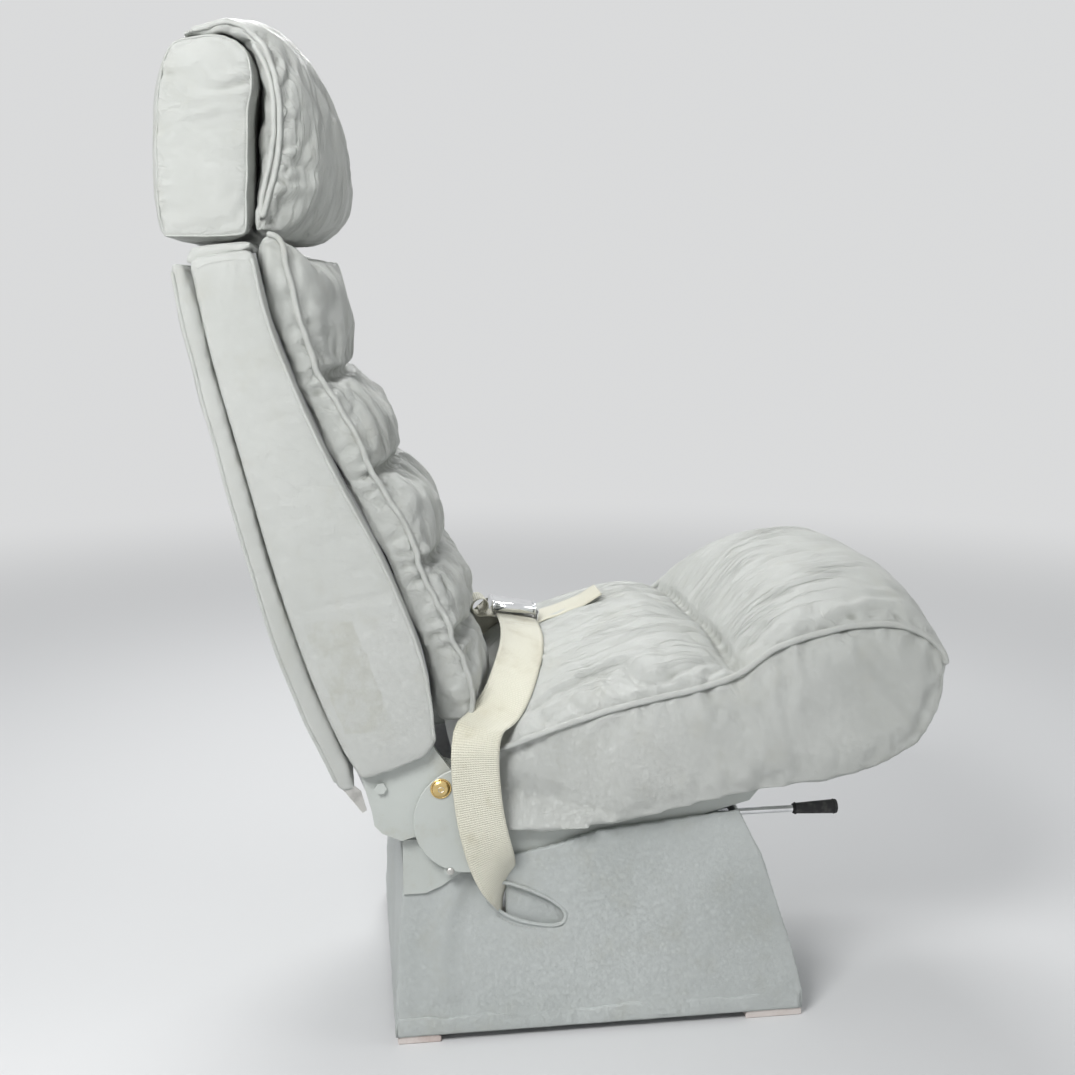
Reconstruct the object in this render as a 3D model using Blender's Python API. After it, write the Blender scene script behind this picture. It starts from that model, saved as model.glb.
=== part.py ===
"""Reclining aircraft passenger seat with an adjustable headrest and a lap belt.

Metres, +Z up. The occupant faces -Y, and the occupant's right is at -X.
A side view is drawn with two lengths: how far forward of the rear feet a
point lies, and how high it is above the floor.
"""
import math

import bmesh
import bpy
from mathutils import Matrix, Vector

# Whole seat, side view
SEAT_NOSE = 0.606
HEADREST_REAR = -0.234
MIDDLE_FORWARD = (SEAT_NOSE + HEADREST_REAR) / 2

# Clearances
GAP = 0.0003
SOFT_GAP = 0.001
RUNNING_GAP = 0.0008

# Half widths, from the middle of the seat outwards
LEG_PLATE_IN = 0.1735
LEG_PLATE_THICK = 0.0052
SEAT_RAIL_THICK = 0.0060
SKIRT_IN = 0.1870
SKIRT_THICK = 0.0050
GUARD_THICK = 0.0030
BRACKET_IN = 0.1965
BRACKET_THICK = 0.0100
COVER_THICK = 0.0030
BACK_RAIL_IN = 0.1750
BACK_RAIL_THICK = 0.0060
BACK_PAD_OUT = 0.2200
BACK_CUSHION_HALF = 0.1880
SEAT_CUSHION_HALF = 0.2140
HEADREST_HALF = 0.1500
HINGE_OUT = BRACKET_IN + BRACKET_THICK + RUNNING_GAP + COVER_THICK
WEBBING_OUT = max(SEAT_CUSHION_HALF, HINGE_OUT + 0.0037) + 0.0012

# Base
FOOT_HEIGHT = 0.0115
HEM_HEIGHT = 0.0120
BASE_REAR = -0.0200
BASE_FRONT = 0.4360
BASE_TOP_REAR = 0.2150
SPREADER_RADIUS = 0.0160
SPREADER_WALL = 0.0025
SPREADER_HEIGHT = 0.0450
LEG_HOLE_RADIUS = 0.0420
LEG_HOLE_REAR_RADIUS = 0.0230

# Recline hinge
PIVOT = (0.0310, 0.2990)
PIVOT_PIN_RADIUS = 0.0060
PIVOT_HEAD_RADIUS = 0.0093
PIVOT_EYE_RADIUS = 0.0240
RECLINE_DEGREES = 30.0
COVER_CENTRE = (0.0606, 0.2625)
COVER_RADIUS = 0.0586
COVER_CUT_DEGREES = 68.0
COVER_SCREW = (0.0400, 0.2070)
COVER_SCREW_RADIUS = 0.0040
BRACKET_BOLT = (-0.0310, 0.3020)
BRACKET_BOLT_FLATS = 0.0110
BRACKET_TOP = 0.4400

# Recline lock and lever
LOCK_X = -0.1200
LOCK_ARM = (-0.0280, -0.0570)
LOCK_LENGTH = 0.3100
LOCK_CYLINDER_RADIUS = 0.0130
LOCK_CYLINDER_LENGTH = 0.1700
LOCK_ROD_RADIUS = 0.0050
LOCK_EYE_RADIUS = 0.0115
LOCK_PIN_RADIUS = 0.0040
LOCK_EYE_PLAY = 0.0026
LEVER_X = -0.0880
LEVER_PIVOT = (BASE_FRONT - 0.1060, 0.2050)
LEVER_RADIUS = 0.0042
LEVER_GRIP_START = BASE_FRONT + 0.0170
LEVER_GRIP_END = LEVER_GRIP_START + 0.0540
LEVER_GRIP_RADIUS = 0.0085

# Headrest posts
POST_X = 0.0650
POST_RADIUS = 0.0060
POST_TILT_DEGREES = 11.5
POST_FORWARD = -0.1720
POST_LEVEL = 0.8500
POST_DOWN = 0.1350
POST_UP = 0.1050
GUIDE_WALL = 0.0030
GUIDE_LENGTH = 0.1600

# Belt
WEBBING_WIDTH = 0.0500
WEBBING_THICK = 0.0016
BUCKLE_LENGTH = 0.0620
BUCKLE_WIDTH = 0.0560
BUCKLE_HEIGHT = 0.0150
BUCKLE_WALL = 0.0022
BUCKLE_ADJUSTER_REACH = 0.0230
BUCKLE_FORWARD = 0.1380
BUCKLE_X = 0.0500
BUCKLE_TILT_DEGREES = 11.0

# Side view lines, as (forward, height) points
BACK_REAR_LINE = [(-0.216, 0.817), (-0.197, 0.719), (-0.180, 0.640), (-0.155, 0.531),
                  (-0.129, 0.439), (-0.105, 0.373), (-0.072, 0.300)]
BACK_INNER_LINE = [(-0.199, 0.832), (-0.184, 0.744), (-0.157, 0.637), (-0.133, 0.535),
                   (-0.108, 0.448), (-0.085, 0.382), (-0.056, 0.316)]
BACK_FRONT_LINE = [(-0.136, 0.842), (-0.128, 0.785), (-0.099, 0.705), (-0.063, 0.623),
                   (-0.028, 0.558), (0.000, 0.490), (0.022, 0.425), (0.028, 0.352)]
BACK_PIPING_LINE = [(-0.118, 0.852), (-0.108, 0.795), (-0.092, 0.745), (-0.061, 0.686),
                    (-0.028, 0.618), (0.006, 0.560), (0.022, 0.505), (0.050, 0.448),
                    (0.064, 0.400), (0.070, 0.352)]
BACK_TOP_UNDER = [(-0.205, 0.8335), (-0.139, 0.8435)]
BACK_TOP_FRONT = -0.1390
BACK_TOP_REAR = -0.1985
HEADREST_OVER_LINE = [(-0.206, 1.0440), (-0.190, 1.0485), (-0.170, 1.0510), (-0.150, 1.0460),
                      (-0.137, 1.0290), (-0.137, 0.990), (-0.141, 0.945), (-0.144, 0.900),
                      (-0.146, 0.862)]
PILLOW_JOINTS = [0.722, 0.626, 0.530, 0.452]
BACK_CROWN = 0.040
PILLOW_PUFF = 0.016
SEAT_BOTTOM_LINE = [(0.040, 0.252), (0.130, 0.238), (0.220, 0.246), (0.375, 0.275),
                    (0.488, 0.290), (0.540, 0.310), (0.574, 0.357)]
SEAT_PIPING_LINE = [(0.052, 0.318), (0.100, 0.342), (0.211, 0.380), (0.334, 0.404),
                    (0.352, 0.414), (0.391, 0.442), (0.435, 0.455), (0.503, 0.463),
                    (0.545, 0.452), (0.581, 0.425)]
SEAT_CROWN = 0.046
SEAT_CROWN_START = 0.085
SEAT_CROWN_FULL = 0.140
SEAT_GROOVE = 0.340
SEAT_GROOVE_DEPTH = 0.016
SEAT_GROOVE_WIDTH = 0.030
SEAT_NOSE_STATIONS = [(((0.5760, 0.361), (0.5825, 0.4215), (0.5900, 0.4600)), 0.995),
                      (((0.5785, 0.369), (0.5850, 0.4110), (0.6010, 0.4380)), 0.985),
                      (((0.5810, 0.380), (0.5855, 0.4000), (SEAT_NOSE, 0.4050)), 0.970)]

LEATHER = (0.56, 0.59, 0.57, 1.0)
PAINT = (0.60, 0.62, 0.60, 1.0)
ALUMINIUM = (0.70, 0.71, 0.72, 1.0)
STEEL = (0.60, 0.60, 0.58, 1.0)
CHROME = (0.80, 0.80, 0.80, 1.0)
GOLD = (0.66, 0.52, 0.28, 1.0)
RUBBER = (0.03, 0.03, 0.03, 1.0)
WEBBING = (0.66, 0.64, 0.54, 1.0)
FOOT = (0.72, 0.68, 0.64, 1.0)


for old in list(bpy.data.objects):
    bpy.data.objects.remove(old, do_unlink=True)


# Helpers

def material(name, colour, roughness, metallic):
    """A plain surface of one colour."""
    made = bpy.data.materials.new(name)
    made.use_nodes = True
    shader = made.node_tree.nodes["Principled BSDF"]
    shader.inputs["Base Color"].default_value = colour
    shader.inputs["Roughness"].default_value = roughness
    shader.inputs["Metallic"].default_value = metallic
    return made


FINISHES = {
    "leather": (LEATHER, 0.55, 0.0),
    "paint": (PAINT, 0.45, 0.0),
    "aluminium": (ALUMINIUM, 0.35, 1.0),
    "steel": (STEEL, 0.30, 1.0),
    "chrome": (CHROME, 0.12, 1.0),
    "gold": (GOLD, 0.25, 1.0),
    "rubber": (RUBBER, 0.60, 0.0),
    "webbing": (WEBBING, 0.80, 0.0),
    "foot": (FOOT, 0.60, 0.0),
}


def place(x, forward, height):
    """A point of the seat from its side view lengths."""
    return Vector((x, MIDDLE_FORWARD - forward, height))


def make(name, mesh, finish, smooth=30.0):
    """Link a mesh as a named piece with its own material and outward faces."""
    tidy = bmesh.new()
    tidy.from_mesh(mesh)
    bmesh.ops.recalc_face_normals(tidy, faces=tidy.faces)
    tidy.to_mesh(mesh)
    tidy.free()
    mesh.shade_smooth()
    mesh.set_sharp_from_angle(angle=math.radians(smooth))
    colour, roughness, metallic = FINISHES[finish]
    mesh.materials.clear()
    mesh.materials.append(material(name + "_finish", colour, roughness, metallic))
    piece = bpy.data.objects.new(name, mesh)
    bpy.context.scene.collection.objects.link(piece)
    return piece


def arc(centre, radius, start, end, steps):
    """Side view points on a circle, with angles in degrees from straight forward."""
    points = []
    for step in range(steps + 1):
        angle = math.radians(start + (end - start) * step / steps)
        points.append((centre[0] + radius * math.cos(angle),
                       centre[1] + radius * math.sin(angle)))
    return points


def along(line, share):
    """The point at a share of a line's length."""
    lengths = [0.0]
    for a, b in zip(line, line[1:]):
        lengths.append(lengths[-1] + math.dist(a, b))
    target = min(max(share, 0.0), 1.0) * lengths[-1]
    for index in range(1, len(line)):
        if target <= lengths[index] + 1e-12:
            part = (target - lengths[index - 1]) / (lengths[index] - lengths[index - 1])
            a, b = line[index - 1], line[index]
            return (a[0] + (b[0] - a[0]) * part, a[1] + (b[1] - a[1]) * part)
    return line[-1]


def smooth_line(line, count):
    """A line through the same points with its corners eased, at even steps."""
    eased = list(line)
    for _ in range(2):
        cut = [eased[0]]
        for a, b in zip(eased, eased[1:]):
            cut.append((a[0] * 0.75 + b[0] * 0.25, a[1] * 0.75 + b[1] * 0.25))
            cut.append((a[0] * 0.25 + b[0] * 0.75, a[1] * 0.25 + b[1] * 0.75))
        eased = cut + [eased[-1]]
    return [along(eased, step / (count - 1)) for step in range(count)]


def level(line, height):
    """How far forward a falling line lies at a height."""
    for a, b in zip(line, line[1:]):
        low, high = min(a[1], b[1]), max(a[1], b[1])
        if low <= height <= high:
            part = (height - a[1]) / (b[1] - a[1])
            return a[0] + (b[0] - a[0]) * part
    nearest = min(line, key=lambda point: abs(point[1] - height))
    return nearest[0]


def reach(line, forward):
    """How high a forward going line lies at a forward distance."""
    for a, b in zip(line, line[1:]):
        if a[0] <= forward <= b[0]:
            part = (forward - a[0]) / (b[0] - a[0])
            return a[1] + (b[1] - a[1]) * part
    nearest = min(line, key=lambda point: abs(point[0] - forward))
    return nearest[1]


def prism_mesh(outline, x_low, x_high):
    """A side view outline carried across the seat from one x to another."""
    mesh = bpy.data.meshes.new("prism")
    count = len(outline)
    points = [place(x_low, *point) for point in outline]
    points += [place(x_high, *point) for point in outline]
    faces = [list(range(count)), list(range(2 * count - 1, count - 1, -1))]
    for index in range(count):
        after = (index + 1) % count
        faces.append([index, index + count, after + count, after])
    mesh.from_pydata(points, [], faces)
    return mesh


def rod_mesh(start, end, radius, sides=24, end_radius=None):
    """A round bar, or a cone, between two points."""
    end_radius = radius if end_radius is None else end_radius
    axis = (end - start).normalized()
    turn = axis.to_track_quat("Z", "Y").to_matrix()
    points = []
    for centre, size in ((start, radius), (end, end_radius)):
        for side in range(sides):
            angle = 2 * math.pi * side / sides
            points.append(centre + turn @ Vector((math.cos(angle), math.sin(angle), 0)) * size)
    faces = [list(range(sides)), list(range(2 * sides - 1, sides - 1, -1))]
    for side in range(sides):
        after = (side + 1) % sides
        faces.append([side, side + sides, after + sides, after])
    mesh = bpy.data.meshes.new("rod")
    mesh.from_pydata(points, [], faces)
    return mesh


def box_mesh(low, high):
    """A block between two corners given in the seat's own axes."""
    tidy = bmesh.new()
    bmesh.ops.create_cube(tidy, size=1.0)
    size = Vector(high) - Vector(low)
    centre = (Vector(high) + Vector(low)) / 2
    bmesh.ops.transform(tidy, verts=tidy.verts,
                        matrix=Matrix.Translation(centre) @ Matrix.Diagonal((*size, 1.0)))
    mesh = bpy.data.meshes.new("box")
    tidy.to_mesh(mesh)
    tidy.free()
    return mesh


def combine(piece, other_mesh, operation):
    """Add a mesh to a piece, or cut it away, as a live Boolean."""
    tidy = bmesh.new()
    tidy.from_mesh(other_mesh)
    bmesh.ops.recalc_face_normals(tidy, faces=tidy.faces)
    tidy.to_mesh(other_mesh)
    tidy.free()
    guide = bpy.data.objects.new(piece.name + "_guide", other_mesh)
    guide.hide_render = True
    guide.display_type = "WIRE"
    bpy.context.scene.collection.objects.link(guide)
    change = piece.modifiers.new(operation.lower(), "BOOLEAN")
    change.operation = operation
    change.object = guide
    change.solver = "EXACT"
    return piece


def round_edges(piece, width, segments=2, angle=40.0):
    """Round the sharp edges of a piece."""
    change = piece.modifiers.new("round", "BEVEL")
    change.width = width
    change.segments = segments
    change.limit_method = "ANGLE"
    change.angle_limit = math.radians(angle)
    return piece


def both_sides(builder):
    """Build a piece for the occupant's right and left."""
    for side, word in ((-1, "right"), (1, "left")):
        builder(side, word)


def across(side, inner, outer):
    """The x range of a piece on one side, in rising order."""
    return tuple(sorted((side * inner, side * outer)))


# Base: leg plates, spreader tubes, feet and skirts

leg_in, leg_out = LEG_PLATE_IN, LEG_PLATE_IN + LEG_PLATE_THICK
seat_rail_in = leg_out + GAP
seat_rail_out = seat_rail_in + SEAT_RAIL_THICK
skirt_out = SKIRT_IN + SKIRT_THICK
spreader_rear = (BASE_REAR + 0.045, SPREADER_HEIGHT)
spreader_front = (BASE_FRONT - 0.045, SPREADER_HEIGHT)
base_front_top = (BASE_FRONT - 0.078, 0.250)
SKIRT_FRONT_EDGE = [(BASE_FRONT, HEM_HEIGHT + 0.02), (BASE_FRONT - 0.016, 0.094),
                    (BASE_FRONT - 0.037, 0.155), (BASE_FRONT - 0.054, 0.200), base_front_top]
SKIRT_TOP_LINE = [(0.202, 0.236), (0.159, 0.223), (0.106, 0.212), (0.060, 0.200),
                  (-0.009, 0.200)]
BELT_SLOT = [(0.074, 0.180), (0.084, 0.158), (0.100, 0.144), (0.122, 0.134), (0.161, 0.127),
             (0.168, 0.143), (0.150, 0.160), (0.118, 0.176), (0.096, 0.184)]


def leg_plate(side, word):
    """Pressed side frame of the base with two lightening holes."""
    outline = [(BASE_REAR + 0.006, FOOT_HEIGHT + GAP), (BASE_FRONT - 0.008, FOOT_HEIGHT + GAP),
               (BASE_FRONT - 0.031, 0.094), (BASE_FRONT - 0.052, 0.155),
               (BASE_FRONT - 0.078, 0.222), (0.200, 0.222),
               (0.100, 0.200), (0.074, 0.240), (0.000, 0.240), (-0.004, 0.180)]
    low, high = across(side, leg_in, leg_out)
    piece = make(f"leg_plate_{word}", prism_mesh(outline, low, high), "aluminium")
    holes = [((BASE_FRONT - 0.166, 0.120), LEG_HOLE_RADIUS),
             ((BASE_REAR + 0.080, 0.125), LEG_HOLE_REAR_RADIUS)]
    holes += [(spreader_rear, SPREADER_RADIUS - SPREADER_WALL),
              (spreader_front, SPREADER_RADIUS - SPREADER_WALL)]
    for centre, radius in holes:
        combine(piece, rod_mesh(place(low - 0.01, *centre), place(high + 0.01, *centre),
                                radius, 20), "DIFFERENCE")


both_sides(leg_plate)


def spreader(word, centre):
    """Cross tube that holds the leg plates apart."""
    end = leg_in - GAP
    piece = make(f"{word}_spreader_tube",
                 rod_mesh(place(-end, *centre), place(end, *centre), SPREADER_RADIUS), "aluminium")
    combine(piece, rod_mesh(place(-end - 0.01, *centre), place(end + 0.01, *centre),
                            SPREADER_RADIUS - SPREADER_WALL), "DIFFERENCE")


spreader("rear", spreader_rear)
spreader("front", spreader_front)


def track_fitting(side, word, place_word, rear, front):
    """Foot block under a leg plate, with a sloping nose at each end."""
    low, high = across(side, leg_in - 0.0130, skirt_out - 0.0010)
    nose = FOOT_HEIGHT * 0.6
    outline = [(rear, 0.0), (front, 0.0), (front, nose), (front - 0.006, FOOT_HEIGHT),
               (rear + 0.006, FOOT_HEIGHT), (rear, nose)]
    piece = make(f"track_fitting_{place_word}_{word}", prism_mesh(outline, low, high), "foot")
    round_edges(piece, 0.0015)


for side, word in ((-1, "right"), (1, "left")):
    track_fitting(side, word, "rear", BASE_REAR + 0.0020, BASE_REAR + 0.0490)
    track_fitting(side, word, "front", BASE_FRONT - 0.0640, BASE_FRONT + 0.0010)


def side_skirt(side, word):
    """Covered side panel with the belt's slot, and a hem along its bottom."""
    outline = [(BASE_REAR, HEM_HEIGHT)] + [(BASE_FRONT - 0.004, HEM_HEIGHT)]
    outline += SKIRT_FRONT_EDGE + SKIRT_TOP_LINE + [(-0.0115, 0.170), (-0.0165, 0.110)]
    low, high = across(side, SKIRT_IN, skirt_out)
    piece = make(f"side_skirt_{word}", prism_mesh(outline, low, high), "leather")
    combine(piece, prism_mesh(BELT_SLOT, low - 0.01, high + 0.01), "DIFFERENCE")


both_sides(side_skirt)


def end_skirt(word, line, inward):
    """Panel that follows the front or rear edges of the side panels."""
    outer = [point for point in line]
    inner = [(forward + inward * SKIRT_THICK, height) for forward, height in reversed(line)]
    half = SKIRT_IN - GAP
    return make(f"{word}_skirt", prism_mesh(outer + inner, -half, half), "leather")


end_skirt("rear", [(BASE_REAR, HEM_HEIGHT), (-0.0165, 0.110), (-0.0115, 0.170), (-0.0095, 0.200)], 1)
front_line = [(BASE_FRONT - 0.003, HEM_HEIGHT)] + SKIRT_FRONT_EDGE
front_piece = end_skirt("front", front_line, -1)
LEVER_SLOT_HALF = 0.0070
LEVER_SLOT_UP = 0.0230
combine(front_piece,
        box_mesh(place(LEVER_X - LEVER_SLOT_HALF, 0.440, LEVER_PIVOT[1] - 0.0100),
                 place(LEVER_X + LEVER_SLOT_HALF, 0.340, LEVER_PIVOT[1] + LEVER_SLOT_UP)),
        "DIFFERENCE")


# Seat frame: rails with the hinge eyes, and the pan

PAN_THICK = 0.0030
PAN_REAR = 0.1200
SEAT_REAR = 0.0580
RAIL_FRONT = BASE_FRONT - 0.0460
seat_bottom = smooth_line(SEAT_BOTTOM_LINE, 40)


def seat_rail(side, word):
    """Rail under the cushion that rises to an eye and boss for the hinge."""
    bottom_rear = 0.2010
    top = [(forward, height - SOFT_GAP) for forward, height in seat_bottom[::2]
           if SEAT_REAR < forward < RAIL_FRONT]
    under = [(RAIL_FRONT - 0.020, 0.258), (0.300, 0.240), (0.200, 0.228),
             (0.104, bottom_rear), (0.004, bottom_rear)]
    eye = arc(PIVOT, PIVOT_EYE_RADIUS, 180, -20, 14)
    rear = SEAT_REAR - SOFT_GAP
    outline = eye + [(rear, 0.280), (rear, reach(seat_bottom, rear) - SOFT_GAP)] + top + under
    low, high = across(side, seat_rail_in, seat_rail_out)
    piece = make(f"seat_rail_{word}", prism_mesh(outline, low, high), "paint")
    boss_end = BRACKET_IN - RUNNING_GAP
    combine(piece, rod_mesh(place(side * (seat_rail_in + 0.001), *PIVOT),
                            place(side * boss_end, *PIVOT), PIVOT_EYE_RADIUS * 0.62), "UNION")
    combine(piece, rod_mesh(place(low - 0.02, *PIVOT), place(high + 0.02, *PIVOT),
                            PIVOT_PIN_RADIUS + GAP), "DIFFERENCE")


both_sides(seat_rail)


def under_pan(forward):
    """Height of the pan's underside."""
    return reach(seat_bottom, forward) - SOFT_GAP - PAN_THICK


def seat_pan():
    """Dished sheet under the cushion, curved up at its front."""
    line = [point for point in seat_bottom[::2] if PAN_REAR < point[0] < 0.5450]
    top = [(forward, height - SOFT_GAP) for forward, height in line]
    under = [(forward, height - PAN_THICK) for forward, height in reversed(top)]
    half = leg_out
    make("seat_pan", prism_mesh(top + under, -half, half), "aluminium")


seat_pan()


# Cushions, as crowned sections between an edge line and a crown line

def cushion_mesh(stations, half, columns=12, power=3.0, pinch=0.0):
    """Sections from a back line, an edge line and a crown line.

    At each station the crown falls to the edge as one less the share of the
    half width raised to a power, and the sides pull in by a pinch.
    """
    rings = []
    for back, edge, crown, width in stations:
        width = width * half
        ring = [place(-width + pinch, *back), place(0.0, *back), place(width - pinch, *back)]
        for step in range(columns + 1):
            share = math.sin(math.pi / 2 * (1 - 2 * step / columns))
            weight = 1 - abs(share) ** power
            forward = edge[0] + (crown[0] - edge[0]) * weight
            height = edge[1] + (crown[1] - edge[1]) * weight
            ring.append(place(share * width, forward, height))
        rings.append(ring)
    count = len(rings[0])
    points = [point for ring in rings for point in ring]
    faces = [list(range(count)),
             list(range(len(points) - 1, len(points) - count - 1, -1))]
    for row in range(len(rings) - 1):
        for index in range(count):
            after = (index + 1) % count
            faces.append([row * count + index, (row + 1) * count + index,
                          (row + 1) * count + after, row * count + after])
    mesh = bpy.data.meshes.new("cushion")
    mesh.from_pydata(points, [], faces)
    return mesh


def seat_edge(forward):
    """Height of the seat cushion's piping."""
    return reach(SEAT_PIPING_LINE, forward)


def seat_crown(forward):
    """Height of the seat cushion's middle, dipped at the sewn groove."""
    start = (forward - SEAT_CROWN_START) / (SEAT_CROWN_FULL - SEAT_CROWN_START)
    start = min(max(start, 0.0), 1.0)
    rise = SEAT_CROWN * start * start * (3 - 2 * start)
    far = (forward - SEAT_GROOVE - 0.012) / SEAT_GROOVE_WIDTH
    rise -= SEAT_GROOVE_DEPTH * math.exp(-far * far)
    nose = max(0.0, (forward - 0.500) / (SEAT_NOSE - 0.500))
    return seat_edge(forward) + rise * (1 - nose ** 4 * 0.6)


def seat_top(x, forward):
    """Height of the cushion's top at a place on it."""
    weight = 1 - min(1.0, abs(x) / SEAT_CUSHION_HALF) ** 3
    edge = seat_edge(forward)
    return edge + (seat_crown(forward) - edge) * weight


hinge_end = COVER_CENTRE[0] + COVER_RADIUS * math.cos(math.radians(COVER_CUT_DEGREES))


def seat_half(forward):
    """The cushion's half width: inside the hinges at its rear, full ahead of them."""
    beside = skirt_out - SOFT_GAP
    if forward <= hinge_end:
        drawn_in = 0.010 * (hinge_end - forward) / (hinge_end - SEAT_REAR)
        return min(beside - drawn_in, SEAT_CUSHION_HALF)
    share = min(1.0, (forward - hinge_end) / 0.017)
    return beside + (SEAT_CUSHION_HALF - beside) * share


def seat_cushion():
    """Seat cushion with a raised front bolster and a rounded nose."""
    stations = []
    forward_steps = [SEAT_REAR, 0.075, hinge_end, 0.100, 0.130, 0.165, 0.200, 0.240, 0.280, 0.310, 0.330,
                     0.345, 0.360, 0.380, 0.410, 0.440, 0.470, 0.500, 0.530, 0.555, 0.574]
    for forward in forward_steps:
        narrow = seat_half(forward) / SEAT_CUSHION_HALF
        stations.append(((forward, reach(seat_bottom, forward)),
                         (forward, seat_edge(forward)),
                         (forward, seat_crown(forward)), narrow))
    for spots, width in SEAT_NOSE_STATIONS:
        stations.append((*spots, width))
    make("seat_cushion", cushion_mesh(stations, SEAT_CUSHION_HALF), "leather", 60)


seat_cushion()


# Recline hinge: back bracket, cover plate, guard plate and their screws

def hinge(side, word):
    """The plates and screws of one hinge, from the skirt outwards."""
    guard_low, guard_high = across(side, skirt_out + GAP, skirt_out + GAP + GUARD_THICK)
    guard = [(-0.009, 0.238), (-0.009, 0.177), (0.014, 0.177), (0.031, 0.184), (0.052, 0.198),
             (0.070, 0.215), (0.070, 0.238)]
    plate = make(f"guard_plate_{word}", prism_mesh(guard, guard_low, guard_high), "paint")
    cover_in = BRACKET_IN + BRACKET_THICK + RUNNING_GAP
    post_in = side * (skirt_out + GAP + GUARD_THICK - 0.0005)
    post_out = side * (cover_in - GAP)
    combine(plate, rod_mesh(place(post_in, *COVER_SCREW), place(post_out, *COVER_SCREW),
                            COVER_SCREW_RADIUS * 1.8, 16), "UNION")

    cover_low, cover_high = across(side, cover_in, cover_in + COVER_THICK)
    rim = arc(COVER_CENTRE, COVER_RADIUS, COVER_CUT_DEGREES, 360 - COVER_CUT_DEGREES, 28)
    cover = make(f"hinge_cover_{word}", prism_mesh(rim, cover_low, cover_high), "paint")
    round_edges(cover, 0.0008, 1)
    combine(cover, rod_mesh(place(cover_low - 0.01, *PIVOT), place(cover_high + 0.01, *PIVOT),
                            PIVOT_PIN_RADIUS + GAP), "DIFFERENCE")

    face = side * (cover_in + COVER_THICK + GAP)
    pin_in = side * (leg_out + GAP)
    bolt = make(f"pivot_bolt_{word}", dome_mesh(face, side, PIVOT, PIVOT_HEAD_RADIUS, 0.0036), "gold")
    combine(bolt, rod_mesh(place(pin_in, *PIVOT), place(face + side * 0.0005, *PIVOT),
                           PIVOT_PIN_RADIUS, 24), "UNION")

    screw = dome_mesh(face, side, COVER_SCREW, COVER_SCREW_RADIUS, 0.0018)
    make(f"cover_screw_{word}", screw, "steel")


def dome_mesh(face, side, centre, radius, height, sides=20):
    """A low domed screw head standing off a face of constant x."""
    heights = [0.0, 0.35, 0.70, 0.92]
    sizes = [1.0, 0.97, 0.75, 0.40]
    points = []
    for rise, size in zip(heights, sizes):
        for step in range(sides):
            angle = 2 * math.pi * step / sides
            points.append(place(face + side * height * rise,
                                centre[0] + radius * size * math.cos(angle),
                                centre[1] + radius * size * math.sin(angle)))
    points.append(place(face + side * height, *centre))
    faces = [list(range(sides))]
    for row in range(len(heights) - 1):
        for step in range(sides):
            after = (step + 1) % sides
            faces.append([row * sides + step, row * sides + after,
                          (row + 1) * sides + after, (row + 1) * sides + step])
    last = (len(heights) - 1) * sides
    for step in range(sides):
        faces.append([last + step, last + (step + 1) % sides, len(points) - 1])
    mesh = bpy.data.meshes.new("dome")
    mesh.from_pydata(points, [], faces)
    return mesh


both_sides(hinge)


def back_bracket(side, word):
    """Swinging plate with an eye on the pivot and a tongue up into the back."""
    eye = arc(PIVOT, PIVOT_EYE_RADIUS * 0.9, -80, 60, 12)
    outline = eye + [(0.026, 0.340), (0.002, 0.380), (-0.022, BRACKET_TOP),
                     (-0.060, BRACKET_TOP), (-0.066, 0.400), (-0.056, 0.335),
                     (-0.041, 0.278), (-0.038, 0.260), (-0.030, 0.251), (-0.010, 0.242),
                     (0.004, 0.246)]
    low, high = across(side, BRACKET_IN, BRACKET_IN + BRACKET_THICK)
    piece = make(f"back_bracket_{word}", prism_mesh(outline, low, high), "paint")
    combine(piece, rod_mesh(place(low - 0.01, *PIVOT), place(high + 0.01, *PIVOT),
                            PIVOT_PIN_RADIUS + GAP), "DIFFERENCE")
    boss_in = side * (BACK_RAIL_IN + BACK_RAIL_THICK + GAP)
    boss_out = side * (BRACKET_IN + 0.001)
    for centre in (BRACKET_BOLT, (-0.040, BRACKET_TOP - 0.020)):
        combine(piece, rod_mesh(place(boss_in, *centre), place(boss_out, *centre), 0.0095, 16),
                "UNION")
    face = BRACKET_IN + BRACKET_THICK + GAP
    make(f"bracket_bolt_{word}",
         rod_mesh(place(side * face, *BRACKET_BOLT), place(side * (face + 0.0040), *BRACKET_BOLT),
                  BRACKET_BOLT_FLATS / math.sqrt(3), 6), "paint")


both_sides(back_bracket)


# Recline lock: a locking strut between the back's arm and the seat frame

def turned(point, degrees):
    """A side view point carried rearwards about the pivot by an angle."""
    angle = math.radians(degrees)
    forward, height = point[0] - PIVOT[0], point[1] - PIVOT[1]
    return (PIVOT[0] + forward * math.cos(angle) - height * math.sin(angle),
            PIVOT[1] + forward * math.sin(angle) + height * math.cos(angle))


lock_start = (PIVOT[0] + LOCK_ARM[0], PIVOT[1] + LOCK_ARM[1])
lock_end = turned(lock_start, RECLINE_DEGREES)
lock_stroke = math.dist(lock_start, lock_end)
lock_along = Vector(((lock_end[0] - lock_start[0]) / lock_stroke,
                     (lock_end[1] - lock_start[1]) / lock_stroke))


def on_lock(distance):
    """A side view point on the strut, at a distance from its rear eye."""
    return (lock_start[0] + lock_along[0] * distance, lock_start[1] + lock_along[1] * distance)


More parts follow.
